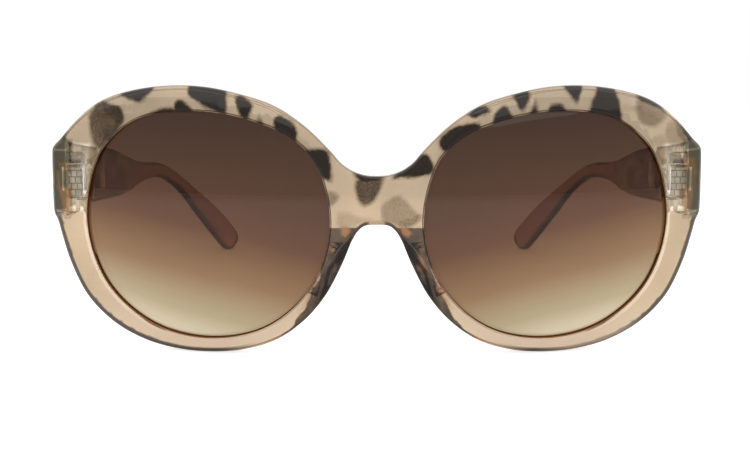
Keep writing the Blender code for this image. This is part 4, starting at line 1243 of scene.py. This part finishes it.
def front_material(finish, plastic, tortoise):
    """Printed plastic of the front, with painted shade in its edges, dark nose pads, and painted light,
    highlights and glow at its ends and openings.
    """
    made, build, shader = new_material("front_plastic")
    base, dark = build.group(plastic), build.group(tortoise)[0]
    density = build.group(print_group("Front print", FRONT_SPOTS, (0, 2)))[0]
    coords = build.coords()
    x, y, z = build.split(coords)
    point = build.combine(x, z, 1.0)
    away = build.math("ABSOLUTE", x)
    near, across, eye, facing = map(build.mark, ("outer_near", "across", "eye_edge", "front_side"))

    # Low down the plastic is painted paler, as painted light against the floor's shadow that shows through
    # the lower rim; it is smoky on the brow and bridge, and grey over the hinges
    over = build.times(build.window(away, 63.0, 64.0, 69.4, 69.9), build.window(z, 30.8, 31.8, 45.6, 46.6))
    plain = build.coats(base["Color"], (build.rise(z, 3.0, 16.0, 0.8, 0.0), finish.painted_light_low),
                        (build.rise(z, 31.0, 38.0, 0.0, 0.29), finish.smoke), (over, finish.plastic_grey))
    # The butts and the hinge pockets are clear
    butt = build.steps(y, PIVOT_Y - 0.8 * MM, PIVOT_Y - 0.5 * MM)
    pocket = build.times(build.window(away, 65.2, 65.3, 70.2, 70.3), build.window(z, 33.8, 33.9, 40.9, 41.0),
                         build.steps(y, PIVOT_Y - 6.5 * MM, PIVOT_Y - 6.3 * MM))
    plain = build.mix(build.math("MAXIMUM", butt, pocket), plain, WHITE)

    # Dark nose pads, which end level at the top and thin out along the outer edge below
    low_part = build.rise(z, 3.6, 15.5, 0.0, 0.84, smooth=False)
    reach = build.plus(low_part, build.rise(z, 17.0, 25.0, 0.0, 0.30))
    wander = build.steps(build.noise(coords, 300.0, 2.0), 0.3, 0.7, -0.06, 0.06)
    inner = build.minus(reach, build.minus(across, wander))
    pads = build.times(build.steps(inner, -0.04, 0.04), build.fall(z, 28.7, 29.0),
                       build.fall(away, 20.5, 24.5))
    fringe = build.times(build.steps(inner, -0.3, -0.02), build.rise(z, 8.0, 14.0), build.fall(z, 24.0, 26.0),
                         build.fall(away, 15.0, 18.0), 0.7)
    flecks = [polygon_mask(build, point, corners, *FLECK) for corners in AMBER_ZONES]
    arch = build.times(build.window(away, 1.3, 2.2, 8.0, 9.0), build.window(z, 26.0, 29.0, 31.5, 33.5),
                       build.steps(near, 0.62, 0.80), 0.95)
    tone = build.coats(printed_tone(build, density, plain, finish), (fringe, finish.amber), (pads, dark),
                       *((fleck, finish.amber) for fleck in flecks), (arch, finish.tortoise))

    # Painted shade along the outer edges: darkest on the lower outer side, where the dark band widens
    # outwards, and at the ends, with a thin painted outline higher up. The brow has a fine painted dark line
    # just inside its edge, and the rim's foot a faint painted line.
    widen = build.plus(near, build.rise(away, 40.0, 58.0, 0.0, 0.11))
    band_easing = build.times(build.window(x, 34.0, 44.0, 54.0, 62.0), build.fall(z, 6.0, 14.0), 0.35)
    band = build.times(build.steps(widen, 0.40, 0.60), build.fall(z, 43.5, 46.5),
                       build.rise(away, 24.0, 36.0), build.minus(0.98, band_easing))
    rim_shade_line = build.times(build.steps(near, 0.72, 0.95, 0.0, 0.5), build.rise(away, 9.0, 14.0),
                           build.fall(away, 20.0, 28.0), build.fall(z, 8.0, 12.0))
    upper = build.times(build.rise(z, 33.0, 38.0), build.rise(away, 18.0, 24.0))
    brow_shade_line = build.times(build.steps(near, 0.55, 0.61), build.steps(near, 0.63, 0.69, 1.0, 0.0), upper, 0.45)
    outline = build.times(build.steps(near, 0.86, 0.98), build.rise(z, 30.0, 34.0), 0.5)
    tone = build.coats(tone, *((mask, finish.painted_edge_shade) for mask in (band, rim_shade_line, brow_shade_line, outline)))

    # The ends get painted shade in olive, painted light in amber and painted highlight lines, and give off a
    # painted glow
    colours = (finish.painted_end_shade, finish.painted_end_light, finish.painted_highlight)
    glow = BLACK
    for strength, which, corners in END_ZONES:
        soft = (0.2 if which == END_HIGHLIGHT else 0.5) * MM
        patch = polygon_mask(build, point, corners, strength, soft, soft)
        tone = build.mix(patch, tone, colours[which])
        glow = build.mix(patch, glow, scaled(colours[which], PAINTED_END_GLOW[which]))
    glow = build.mix(build.times(facing, build.rise(away, 68.2, 69.0)), BLACK, glow)

    # Painted highlight: the edge of an opening is painted bright where it catches the light
    bare = build.minus(1.0, density, clamp=True)
    lip_highlight = build.times(build.steps(eye, 0.05, 0.28), bare, build.minus(1.0, pads, clamp=True),
                      build.rise(z, 30.0, 38.0, 0.6, 0.0), build.rise(away, 44.0, 60.0, 0.15, 1.0))
    tone = build.mix(lip_highlight, tone, finish.painted_highlight)

    # Light takes half of a surface's colour on its way in and half on its way out, so that the front side
    # carries what the back leaves open
    behind = build.mix(pads, plain, finish.pad_back)
    painted = build.vector("MULTIPLY", tone, build.vector("DIVIDE", tone, behind))
    tone = build.mix(facing, behind, build.vector("MINIMUM", painted, WHITE))
    feed_plastic(build, shader, base, tone, finish.clearness)
    build.feed(shader, {"Emission Color": glow, "Emission Strength": 1.0})
    return made


def wall_material(finish):
    """Cut and grooved edges round the lenses, dull, in dark brown painted shade for the shadow in the groove.
    """
    made, build, shader = new_material("opening_wall")
    coords = build.coords()
    tooled = build.noise(coords, 1500.0, 3.0)
    broad = build.steps(build.noise(coords, 60.0, 1.0), 0.45, 0.7, 0.0, 0.4)
    tone = build.mix(build.steps(tooled, 0.3, 0.7), scaled(finish.painted_groove_shade, 0.8), finish.painted_groove_shade)
    build.feed(shader, {
        "Base Color": build.mix(broad, tone, scaled(finish.painted_groove_shade, 1.7)),
        "Roughness": build.steps(tooled, 0.3, 0.7, 0.6, 0.8),
        "Specular IOR Level": EDGE_GLOSS,
    })
    return made


def lens_edge_material(finish):
    """The ground edge of a lens, in painted groove shade, with a painted glow for the light that runs through
    the plastic and comes out brown.
    """
    made, build, shader = new_material("lens_edge")
    ground = build.noise(build.coords(), 2400.0, 2.0)
    build.feed(shader, {
        "Base Color": build.mix(ground, scaled(finish.painted_groove_shade, 0.7), finish.painted_groove_shade),
        "Roughness": build.steps(ground, 0.3, 0.7, 0.55, 0.75),
        "Specular IOR Level": EDGE_GLOSS,
        "Emission Color": (*finish.painted_edge_glow, 1.0),
        "Emission Strength": 1.0,
    })
    return made


def temple_material(finish, plastic):
    """Printed plastic of the temples, with a dark band under the ear section."""
    made, build, shader = new_material("temple_plastic")
    base = build.group(plastic)
    shift = (PIVOT_Y - bpy.context.scene.sunglasses_front.butt_depth) / MM
    spots = [(tone, [(y + shift, z) for y, z in corners]) for tone, corners in TEMPLE_SPOTS]
    density = build.group(print_group("Temple print", spots, (1, 2)))[0]
    coords = build.coords()
    y = build.split(coords)[1]
    streaks = build.noise(build.vector("MULTIPLY", coords, (0.0, 1.0, 0.22)), 230.0, 2.0)
    broad = build.fall(y, -30.0, -8.0)
    butt = build.steps(y, PIVOT_Y + 0.5 * MM, PIVOT_Y + 0.8 * MM, 1.0, 0.0)
    plain = build.coats(
        base["Color"],
        (build.rise(y, -12.0, 4.0, 0.0, 0.75), finish.ear_tone),
        (build.times(broad, 0.95), finish.temple_pale),
        (build.times(build.steps(streaks, 0.46, 0.6, 0.0, 0.85), broad), finish.streak_red),
        (butt, WHITE),
    )
    # Painted shade darkens the top edge; the band under the ear section is in the tortoise colour
    up = build.mark("up_share")
    under = build.times(build.steps(up, -0.78, -0.5, 1.0, 0.0), build.rise(y, -8.0, 8.0), 0.9)
    above = build.times(build.steps(up, 0.85, 0.98), 0.45)
    tone = build.coats(printed_tone(build, density, plain, finish), (under, finish.tortoise),
                       (above, finish.painted_edge_shade))
    feed_plastic(build, shader, base, tone, finish.clearness)
    return made


def lens_material(finish, front, places):
    """Clear lens plastic whose brown tint fades downwards."""
    made, build, shader = new_material("graduated_lens")
    coords = build.coords()
    x, _, z = build.split(coords)
    bottom = places.lens.y - front.lens_height / 2
    height = build.math("DIVIDE", build.minus(z, bottom), front.lens_height)
    # The tint fades sooner towards the temples, and wanders a little
    away = build.math("ABSOLUTE", x)
    outwards = build.math("DIVIDE", build.minus(away, places.lens.x), front.lens_width / 2)
    tilt = build.steps(height, 0.5, 0.9, 0.145, 0.05)
    wander = build.steps(build.noise(coords, 24.0, 1.0), 0.3, 0.7, -0.012, 0.012, smooth=False)
    height = build.plus(build.minus(height, build.times(outwards, tilt)), wander)
    tint = build.add("ShaderNodeValToRGB", {0: height})
    stops = (
        (0.0, finish.lens_bottom),
        (0.10, finish.lens_foot),
        (0.28, finish.lens_low),
        (0.50, finish.lens_middle),
        (0.70, finish.lens_upper),
        (1.0, finish.lens_top),
    )
    elements = tint[0].node.color_ramp.elements
    for i, (place, tone) in enumerate(stops):
        element = elements[i] if i < 2 else elements.new(place)
        element.position = place
        element.color = (*tone, 1.0)
    # The rim shades the lens's margin on the side of the temple and below
    shaded = build.times(build.steps(build.mark("margin"), 0.0, 0.7), build.rise(away, 24.0, 42.0, 0.25, 1.0),
                         build.fall(z, 42.0, 50.0))
    build.feed(shader, {
        "Base Color": build.mix(shaded, tint[0], build.vector("MULTIPLY", tint[0], (0.46, 0.36, 0.28))),
        "Roughness": build.steps(build.noise(coords, 1400.0, 2.0), 0.5, 0.8, 0.0, 0.02),
        "Transmission Weight": 1.0,
        "IOR": LENS_IOR,
        "Specular IOR Level": LENS_GLOSS,
    })
    return made


def steel_material(finish):
    """Plated nickel silver with fine brushing."""
    made, build, shader = new_material("hinge_metal")
    coords = build.coords()
    x, y, z = build.split(coords)
    brushed = build.noise(build.vector("MULTIPLY", coords, (1.0, 1.0, 0.08)), 5200.0, 3.0)
    worn = build.steps(build.noise(coords, 700.0, 3.0), 0.35, 0.75)
    tone = build.mix(worn, finish.steel, scaled(finish.steel, 0.72))
    # Painted highlights: light squares parted by dark lines on the foot, for the glints of the hinge seen
    # through the front's plastic
    squares = build.add("ShaderNodeTexBrick", {
        "Vector": build.combine(x, z), "Scale": 700.0, "Mortar Size": 0.1, "Mortar Smooth": 0.3,
        "Brick Width": 1.0, "Row Height": 1.0, "Color1": (1, 1, 1, 1), "Color2": (0.6, 0.6, 0.6, 1),
        "Mortar": (0.22, 0.21, 0.19, 1),
    }, offset=0.3)["Color"]
    foot = build.steps(y, PIVOT_Y - 5.6 * MM, PIVOT_Y - 5.5 * MM, 1.0, 0.0)
    build.feed(shader, {
        "Base Color": build.mix(foot, tone, build.vector("MULTIPLY", tone, squares)),
        "Roughness": build.steps(brushed, 0.3, 0.7, 0.30, 0.46),
        "Normal": build.bump(brushed, 0.25, 0.02 * MM),
        "Metallic": 0.7,
    })
    return made


def bow_tree(front, places, material, edge_material):
    """Geometry Nodes that bend flat work onto the bowed, wrapped face of the front."""
    build, given, out = node_group("Bow onto the face", "GeometryNodeTree", (
        ("Geometry", "Geometry"),
        ("Float", "Face radius", front.face_radius),
        ("Float", "Wrap", math.tan(front.wrap)),
        ("Float", "Bridge softness", front.bridge_softness),
        ("Float", "Lens X", places.lens.x),
        ("Float", "Lens Z", places.lens.y),
        ("Float", "Face Y", places.face),
    ), [("Geometry", "Geometry")])
    x, _, z = build.split(build.add("GeometryNodeInputPosition")[0])
    square = build.plus(build.times(x, x), build.math("POWER", given["Bridge softness"], 2.0))
    reach = build.minus(build.math("SQRT", square), given["Lens X"])
    bridge = build.minus(given["Bridge softness"], given["Lens X"])
    lean = build.times(build.minus(reach, bridge), given["Wrap"])
    up = build.minus(z, given["Lens Z"])
    across = build.minus(build.times(reach, reach), build.times(bridge, bridge))
    squares = build.plus(across, build.times(up, up))
    bow = build.math("DIVIDE", squares, build.times(given["Face radius"], 2.0))
    shift = build.combine(y=build.plus(lean, bow, given["Face Y"]))
    moved = build.add("GeometryNodeSetPosition", {"Geometry": given["Geometry"], "Offset": shift})[0]
    marked = build.add("GeometryNodeInputNamedAttribute", {"Name": "lens_edge"}, data_type="FLOAT")
    on_edge = build.math("GREATER_THAN", marked["Attribute"], 0.5)
    whole = build.in_material(moved, material)
    edged = {"Geometry": whole, "Selection": on_edge, "Material": edge_material}
    build.feed(out, {0: build.add("GeometryNodeSetMaterial", edged)[0]})
    return build.tree


def knuckle_tree(material):
    """Geometry Nodes that stack hinge knuckles: rings with rounded edges, one above the other."""
    build, given, out = node_group("Knuckle stack", "GeometryNodeTree", (
        ("Geometry", "Geometry"),
        ("Int", "Knuckles", 2),
        ("Float", "Pitch", 0.0028),
        ("Float", "Outer radius", 0.00135),
        ("Float", "Bore radius", 0.0007),
        ("Float", "Height", 0.0013),
        ("Float", "Edge", 0.0001),
        ("Vector", "Lowest", (0.0, 0.0, 0.0)),
    ), [("Geometry", "Geometry")])
    wall = build.minus(given["Outer radius"], given["Bore radius"])
    middle = build.times(build.plus(given["Outer radius"], given["Bore radius"]), 0.5)
    ring = build.add("GeometryNodeCurvePrimitiveCircle", {"Resolution": BARREL_SIDES, "Radius": middle})[0]
    section = {"Width": wall, "Height": given["Height"]}
    profile = build.add("GeometryNodeCurvePrimitiveQuadrilateral", section)[0]
    edges = {"Curve": profile, "Radius": given["Edge"], "Count": 4}
    rounded = build.add("GeometryNodeFilletCurve", edges, mode="POLY")[0]
    tube = build.add("GeometryNodeCurveToMesh", {"Curve": ring, "Profile Curve": rounded})[0]
    line = build.add("GeometryNodeMeshLine", {
        "Count": given["Knuckles"], "Start Location": given["Lowest"],
        "Offset": build.combine(z=given["Pitch"])})
    stack = build.add("GeometryNodeInstanceOnPoints", {"Points": line[0], "Instance": tube})[0]
    build.feed(out, {0: build.in_material(stack, material)})
    return build.tree


def run_tree(host, tree, **values):
    """Gives an object what a Geometry Nodes tree makes with these inputs, as a plain mesh."""
    modifier = host.modifiers.new(tree.name, "NODES")
    modifier.node_group = tree
    for socket in tree.interface.items_tree:
        value = values.get(socket.name.replace(" ", "_"))
        if socket.in_out == "INPUT" and value is not None:
            modifier[socket.identifier] = value
    apply_modifiers(host)
    shade(host)
    return host


def leaf_plate(name, side, hinge, profile, height, spaces):
    """The flat parts of a hinge leaf: a profile seen from above, cut away between its knuckles."""
    points = [(side * (PIVOT_X + x), PIVOT_Y + y) for x, y in profile]
    plate = finish_mesh(name, prism(points, PIVOT_Z - height / 2, PIVOT_Z + height / 2))
    for y_low, y_high, z_low, z_high in spaces:
        low = (PIVOT_X - hinge.foot_width - OVERRUN, PIVOT_Y + y_low, PIVOT_Z + z_low)
        high = (PIVOT_X + hinge.barrel_radius + OVERRUN, PIVOT_Y + y_high, PIVOT_Z + z_high)
        combine(plate, side_block(side, low, high), "DIFFERENCE")
    round_edges(plate, hinge.leaf_edge, 2)
    apply_modifiers(plate)
    return plate


def join(target, other):
    """Adds the other object's mesh to the target's."""
    bm = bmesh.new()
    bm.from_mesh(target.data)
    bm.from_mesh(other.data)
    bm.to_mesh(target.data)
    bm.free()
    bpy.data.objects.remove(other)


def arm_profile(hinge, facing, reach):
    """A leaf's arm from the barrel's side out to its end, which runs the facing way along Y."""
    outer = hinge.leaf_thickness - hinge.barrel_radius
    meet = math.sqrt(hinge.barrel_radius**2 - outer**2)
    inner = -hinge.barrel_radius
    start = hinge.pin_radius + hinge.pin_clearance
    profile = [(inner, 0.0), (inner, reach), (outer, reach), (outer, meet), (outer, start)]
    return [(x, facing * y) for x, y in profile]


class EYEWEAR_OT_mould_front(bpy.types.Operator):
    """Moulds the front with its print, nose pads and hinge bosses"""

    bl_idname = "eyewear.mould_front"
    bl_label = "Mould the front"

    def execute(self, context):
        scene = context.scene
        front, hinge, finish = scene.sunglasses_front, scene.sunglasses_hinge, scene.sunglasses_finish
        places = Places(scene)
        made = finish_mesh("moulded_front", front_plate(front, places))
        for _, side in SIDES:
            add_hinge_bosses(made, side, front, hinge, places)
        clear_marks(made, "front_side",
                    lambda p: p.y - places.face - face_y(p.x, p.z, front) > EDGE_PAINT_END - WELD)
        shade(made)
        skin = front_material(finish, plastic_group(finish), tortoise_group(finish))
        paint_walls(made, skin, wall_material(finish))
        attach(made, "front")
        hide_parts("front_frame")
        return {"FINISHED"}


class EYEWEAR_OT_cut_lenses(bpy.types.Operator):
    """Cuts both lenses and bends them onto the face"""

    bl_idname = "eyewear.cut_lenses"
    bl_label = "Cut the lenses"

    def execute(self, context):
        scene = context.scene
        front, lens, finish = scene.sunglasses_front, scene.sunglasses_lens, scene.sunglasses_finish
        places = Places(scene)
        tree = bow_tree(front, places, lens_material(finish, front, places), lens_edge_material(finish))
        for name, side in SIDES:
            blank = finish_mesh(f"tinted_lens_{name}", lens_blank(side, front, lens, places))
            run_tree(blank, tree)
            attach(blank, "front")
            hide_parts(f"lens_{name}")
        return {"FINISHED"}


class EYEWEAR_OT_mould_temples(bpy.types.Operator):
    """Moulds both temples with their print and hinge bosses"""

    bl_idname = "eyewear.mould_temples"
    bl_label = "Mould the temples"

    def execute(self, context):
        scene = context.scene
        front, temple, hinge = scene.sunglasses_front, scene.sunglasses_temple, scene.sunglasses_hinge
        places = Places(scene)
        finish = scene.sunglasses_finish
        skin = temple_material(finish, bpy.data.node_groups.get("Milky plastic") or plastic_group(finish))
        for name, side in SIDES:
            made = finish_mesh(f"moulded_temple_{name}", temple_body(side, front, temple, places))
            add_temple_boss(made, side, front, temple, hinge, places)
            reach = PIVOT_Y + temple.boss_start + temple.boss_length + WELD
            half = hinge.boss_height / 2 + WELD
            clear_marks(made, "up_share", lambda p: p.y < reach and abs(p.z - PIVOT_Z) < half)
            shade(made)
            coat(made, skin)
            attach(made, f"{name}_temple")
            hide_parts(f"temple_{name}")
        return {"FINISHED"}


class EYEWEAR_OT_fit_hinges(bpy.types.Operator):
    """Makes the hinge leaves with their knuckles, and the screws"""

    bl_idname = "eyewear.fit_hinges"
    bl_label = "Fit the hinges"

    def execute(self, context):
        hinge = context.scene.sunglasses_hinge
        metal = steel_material(context.scene.sunglasses_finish)
        stack = knuckle_tree(metal)
        pitch = hinge.knuckle_height + hinge.knuckle_gap
        for name, side in SIDES:
            for kind, body, count in (("front", "front", 2), ("temple", f"{name}_temple", 1)):
                lowest = PIVOT_Z - pitch if count == 2 else PIVOT_Z
                knuckles = run_tree(
                    finish_mesh("knuckles", bmesh.new()), stack, Knuckles=count, Pitch=2 * pitch,
                    Outer_radius=hinge.barrel_radius, Bore_radius=hinge.pin_radius + hinge.pin_clearance,
                    Height=hinge.knuckle_height, Edge=hinge.leaf_edge,
                    Lowest=(side * PIVOT_X, PIVOT_Y, lowest),
                )
                plate = self.front_plate(side, hinge) if kind == "front" else self.temple_plate(side, hinge)
                join(plate, knuckles)
                plate.name = f"hinge_leaf_{kind}_{name}"
                self.dress(plate, metal, body, f"hinge_{kind}_{name}")
            screw = self.screw(side, hinge)
            screw.name = f"slotted_screw_{name}"
            self.dress(screw, metal, "front", f"hinge_screw_{name}")
        return {"FINISHED"}

    @staticmethod
    def dress(piece, metal, body, node):
        shade(piece)
        coat(piece, metal)
        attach(piece, body)
        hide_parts(node)

    @staticmethod
    def front_plate(side, hinge):
        outer = hinge.leaf_thickness - hinge.barrel_radius
        back = hinge.leaf_thickness - hinge.front_arm
        profile = arm_profile(hinge, -1, hinge.front_arm)
        profile[1:3] = [
            (-hinge.barrel_radius, back),
            (outer - hinge.foot_width, back),
            (outer - hinge.foot_width, -hinge.front_arm),
            (outer, -hinge.front_arm),
        ]
        half = half_stack(hinge)
        past = hinge.barrel_radius + OVERRUN
        middle = hinge.knuckle_height / 2 + hinge.knuckle_gap
        spaces = (
            (back + hinge.leaf_clearance, past, half, hinge.foot_height),
            (back + hinge.leaf_clearance, past, -hinge.foot_height, -half),
            (-hinge.barrel_radius - hinge.barrel_clearance, past, -middle, middle),
        )
        return leaf_plate("front_leaf", side, hinge, profile, hinge.foot_height, spaces)

    @staticmethod
    def temple_plate(side, hinge):
        profile = arm_profile(hinge, 1, hinge.temple_arm)
        anchor = hinge.temple_arm - hinge.anchor_length
        middle = hinge.knuckle_height / 2
        past = -hinge.barrel_radius - OVERRUN
        spaces = ((past, anchor, middle, hinge.anchor_height), (past, anchor, -hinge.anchor_height, -middle))
        return leaf_plate("temple_leaf", side, hinge, profile, hinge.anchor_height, spaces)

    @staticmethod
    def screw(side, hinge):
        bottom = -half_stack(hinge)
        top = hinge.knuckle_gap - bottom
        crown = top + hinge.head_height
        edge, pin, head = hinge.leaf_edge, hinge.pin_radius, hinge.head_radius
        levels = (
            (pin - edge, bottom),
            (pin, bottom + edge),
            (pin, top),
            (head - edge, top),
            (head, top + edge),
            (head, crown - 2 * edge),
            (head - edge, crown - edge * 0.6),
            (head - 3 * edge, crown),
        )
        bm = bmesh.new()
        rings = []
        for radius, level in levels:
            points = circle(side, radius, SCREW_SIDES)
            rings.append([bm.verts.new((p.x, p.y, PIVOT_Z + level)) for p in points])
        loft(bm, *rings)
        bm.faces.new(rings[0])
        bm.faces.new(rings[-1])
        made = finish_mesh("screw", bm)
        reach = head + OVERRUN
        low = (PIVOT_X - reach, PIVOT_Y - hinge.slot_width / 2, PIVOT_Z + crown - hinge.slot_depth)
        high = (PIVOT_X + reach, PIVOT_Y + hinge.slot_width / 2, PIVOT_Z + crown + OVERRUN)
        combine(made, side_block(side, low, high), "DIFFERENCE")
        return made


class EYEWEAR_OT_set_stage(bpy.types.Operator):
    """Sets the floor, the studio light and the camera"""

    bl_idname = "eyewear.set_stage"
    bl_label = "Set the stage"

    def execute(self, context):
        scene = context.scene
        stage = scene.sunglasses_stage
        self.floor(stage)
        self.room(scene, stage)
        self.lamps()
        self.camera(scene, stage)
        scene.view_settings.view_transform = "Standard"
        return {"FINISHED"}

    @staticmethod
    def floor(stage):
        half = stage.floor_size / 2
        bm = bmesh.new()
        corners = ((-half, -half), (half, -half), (half, half), (-half, half))
        bm.faces.new([bm.verts.new((x, y, FLOOR_Z)) for x, y in corners])
        floor = finish_mesh("floor", bm)
        made, build, shader = new_material("white_floor")
        build.feed(shader, {"Base Color": FLOOR_TONE, "Roughness": 0.9, "Specular IOR Level": 0.0})
        # Straight, mirrored and refracted sight lines see it brighter, so that it is white outside the
        # shadow, and mirrored ones only behind the sunglasses
        path, seen = build.sight()
        behind = build.steps(build.split(build.coords())[1], -0.10, 0.10)
        seen = build.math("MAXIMUM", seen, build.times(path["Is Glossy Ray"], behind))
        plain = shader.outputs[0]
        glow = build.add("ShaderNodeEmission", {"Color": (*WHITE, 1.0), "Strength": stage.floor_glow})[0]
        both = build.add("ShaderNodeAddShader", {0: plain, 1: glow})[0]
        mixed = build.add("ShaderNodeMixShader", {0: seen, 1: plain, 2: both})[0]
        build.feed(made.node_tree.nodes["Material Output"], {0: mixed})
        floor.data.materials.append(made)

    @staticmethod
    def room(scene, stage):
        world = bpy.data.worlds.new("studio")
        scene.world = world
        world.use_nodes = True
        build = NodeBuilder(world.node_tree)
        y = build.split(build.add("ShaderNodeTexCoord")["Generated"])[1]
        level = build.steps(y, -0.5, 0.35, stage.room_front, stage.room_back)
        level = build.math("MAXIMUM", level, build.sight()[1])
        build.feed(world.node_tree.nodes["Background"], {"Strength": level, "Color": (*WHITE, 1.0)})

    @staticmethod
    def lamps():
        for name, place, size, power in LAMPS:
            light = bpy.data.lights.new(name, "AREA")
            light.size = size
            light.energy = power
            lamp = bpy.data.objects.new(name, light)
            lamp.location = place
            lamp.rotation_euler = (LAMP_AIM - lamp.location).to_track_quat("-Z", "Y").to_euler()
            bpy.context.scene.collection.objects.link(lamp)

    @staticmethod
    def camera(scene, stage):
        data = bpy.data.cameras.new("camera")
        data.lens = stage.focal_length
        data.sensor_width = 36.0
        data.clip_start = 0.01
        camera = bpy.data.objects.new("camera", data)
        face = PIVOT_Y - scene.sunglasses_front.butt_depth
        camera.location = (stage.camera_shift, face - stage.camera_distance, stage.camera_height + FLOOR_Z)
        camera.rotation_euler = (math.pi / 2 - stage.camera_pitch, 0, 0)
        scene.collection.objects.link(camera)
        scene.camera = camera


class EYEWEAR_PT_sunglasses(bpy.types.Panel):
    """The steps of the sunglasses, in order"""

    bl_label = "Sunglasses"
    bl_space_type = "VIEW_3D"
    bl_region_type = "UI"
    bl_category = "Sunglasses"

    def draw(self, context):
        for operator in OPERATORS:
            self.layout.operator(operator.bl_idname)
        for attribute, group in SETTINGS:
            box = self.layout.box()
            box.label(text=group.__doc__)
            for name in group.__annotations__:
                box.prop(getattr(context.scene, attribute), name)


SETTINGS = (
    ("sunglasses_front", FrontSizes),
    ("sunglasses_lens", LensSizes),
    ("sunglasses_temple", TempleSizes),
    ("sunglasses_hinge", HingeSizes),
    ("sunglasses_finish", FinishChoices),
    ("sunglasses_stage", StageChoices),
)
OPERATORS = (
    EYEWEAR_OT_mould_front,
    EYEWEAR_OT_cut_lenses,
    EYEWEAR_OT_mould_temples,
    EYEWEAR_OT_fit_hinges,
    EYEWEAR_OT_set_stage,
)


def register():
    """Registers the settings, the operators and the panel."""
    for attribute, group in SETTINGS:
        bpy.utils.register_class(group)
        setattr(bpy.types.Scene, attribute, bpy.props.PointerProperty(type=group))
    for operator in OPERATORS:
        bpy.utils.register_class(operator)
    bpy.utils.register_class(EYEWEAR_PT_sunglasses)


def unregister():
    """Removes what register added."""
    bpy.utils.unregister_class(EYEWEAR_PT_sunglasses)
    for operator in reversed(OPERATORS):
        bpy.utils.unregister_class(operator)
    for attribute, group in reversed(SETTINGS):
        delattr(bpy.types.Scene, attribute)
        bpy.utils.unregister_class(group)


def main():
    """Makes every piece in order."""
    register()
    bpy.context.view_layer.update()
    bpy.ops.eyewear.mould_front()
    bpy.ops.eyewear.cut_lenses()
    bpy.ops.eyewear.mould_temples()
    bpy.ops.eyewear.fit_hinges()
    bpy.ops.eyewear.set_stage()


if __name__ == "__main__":
    main()
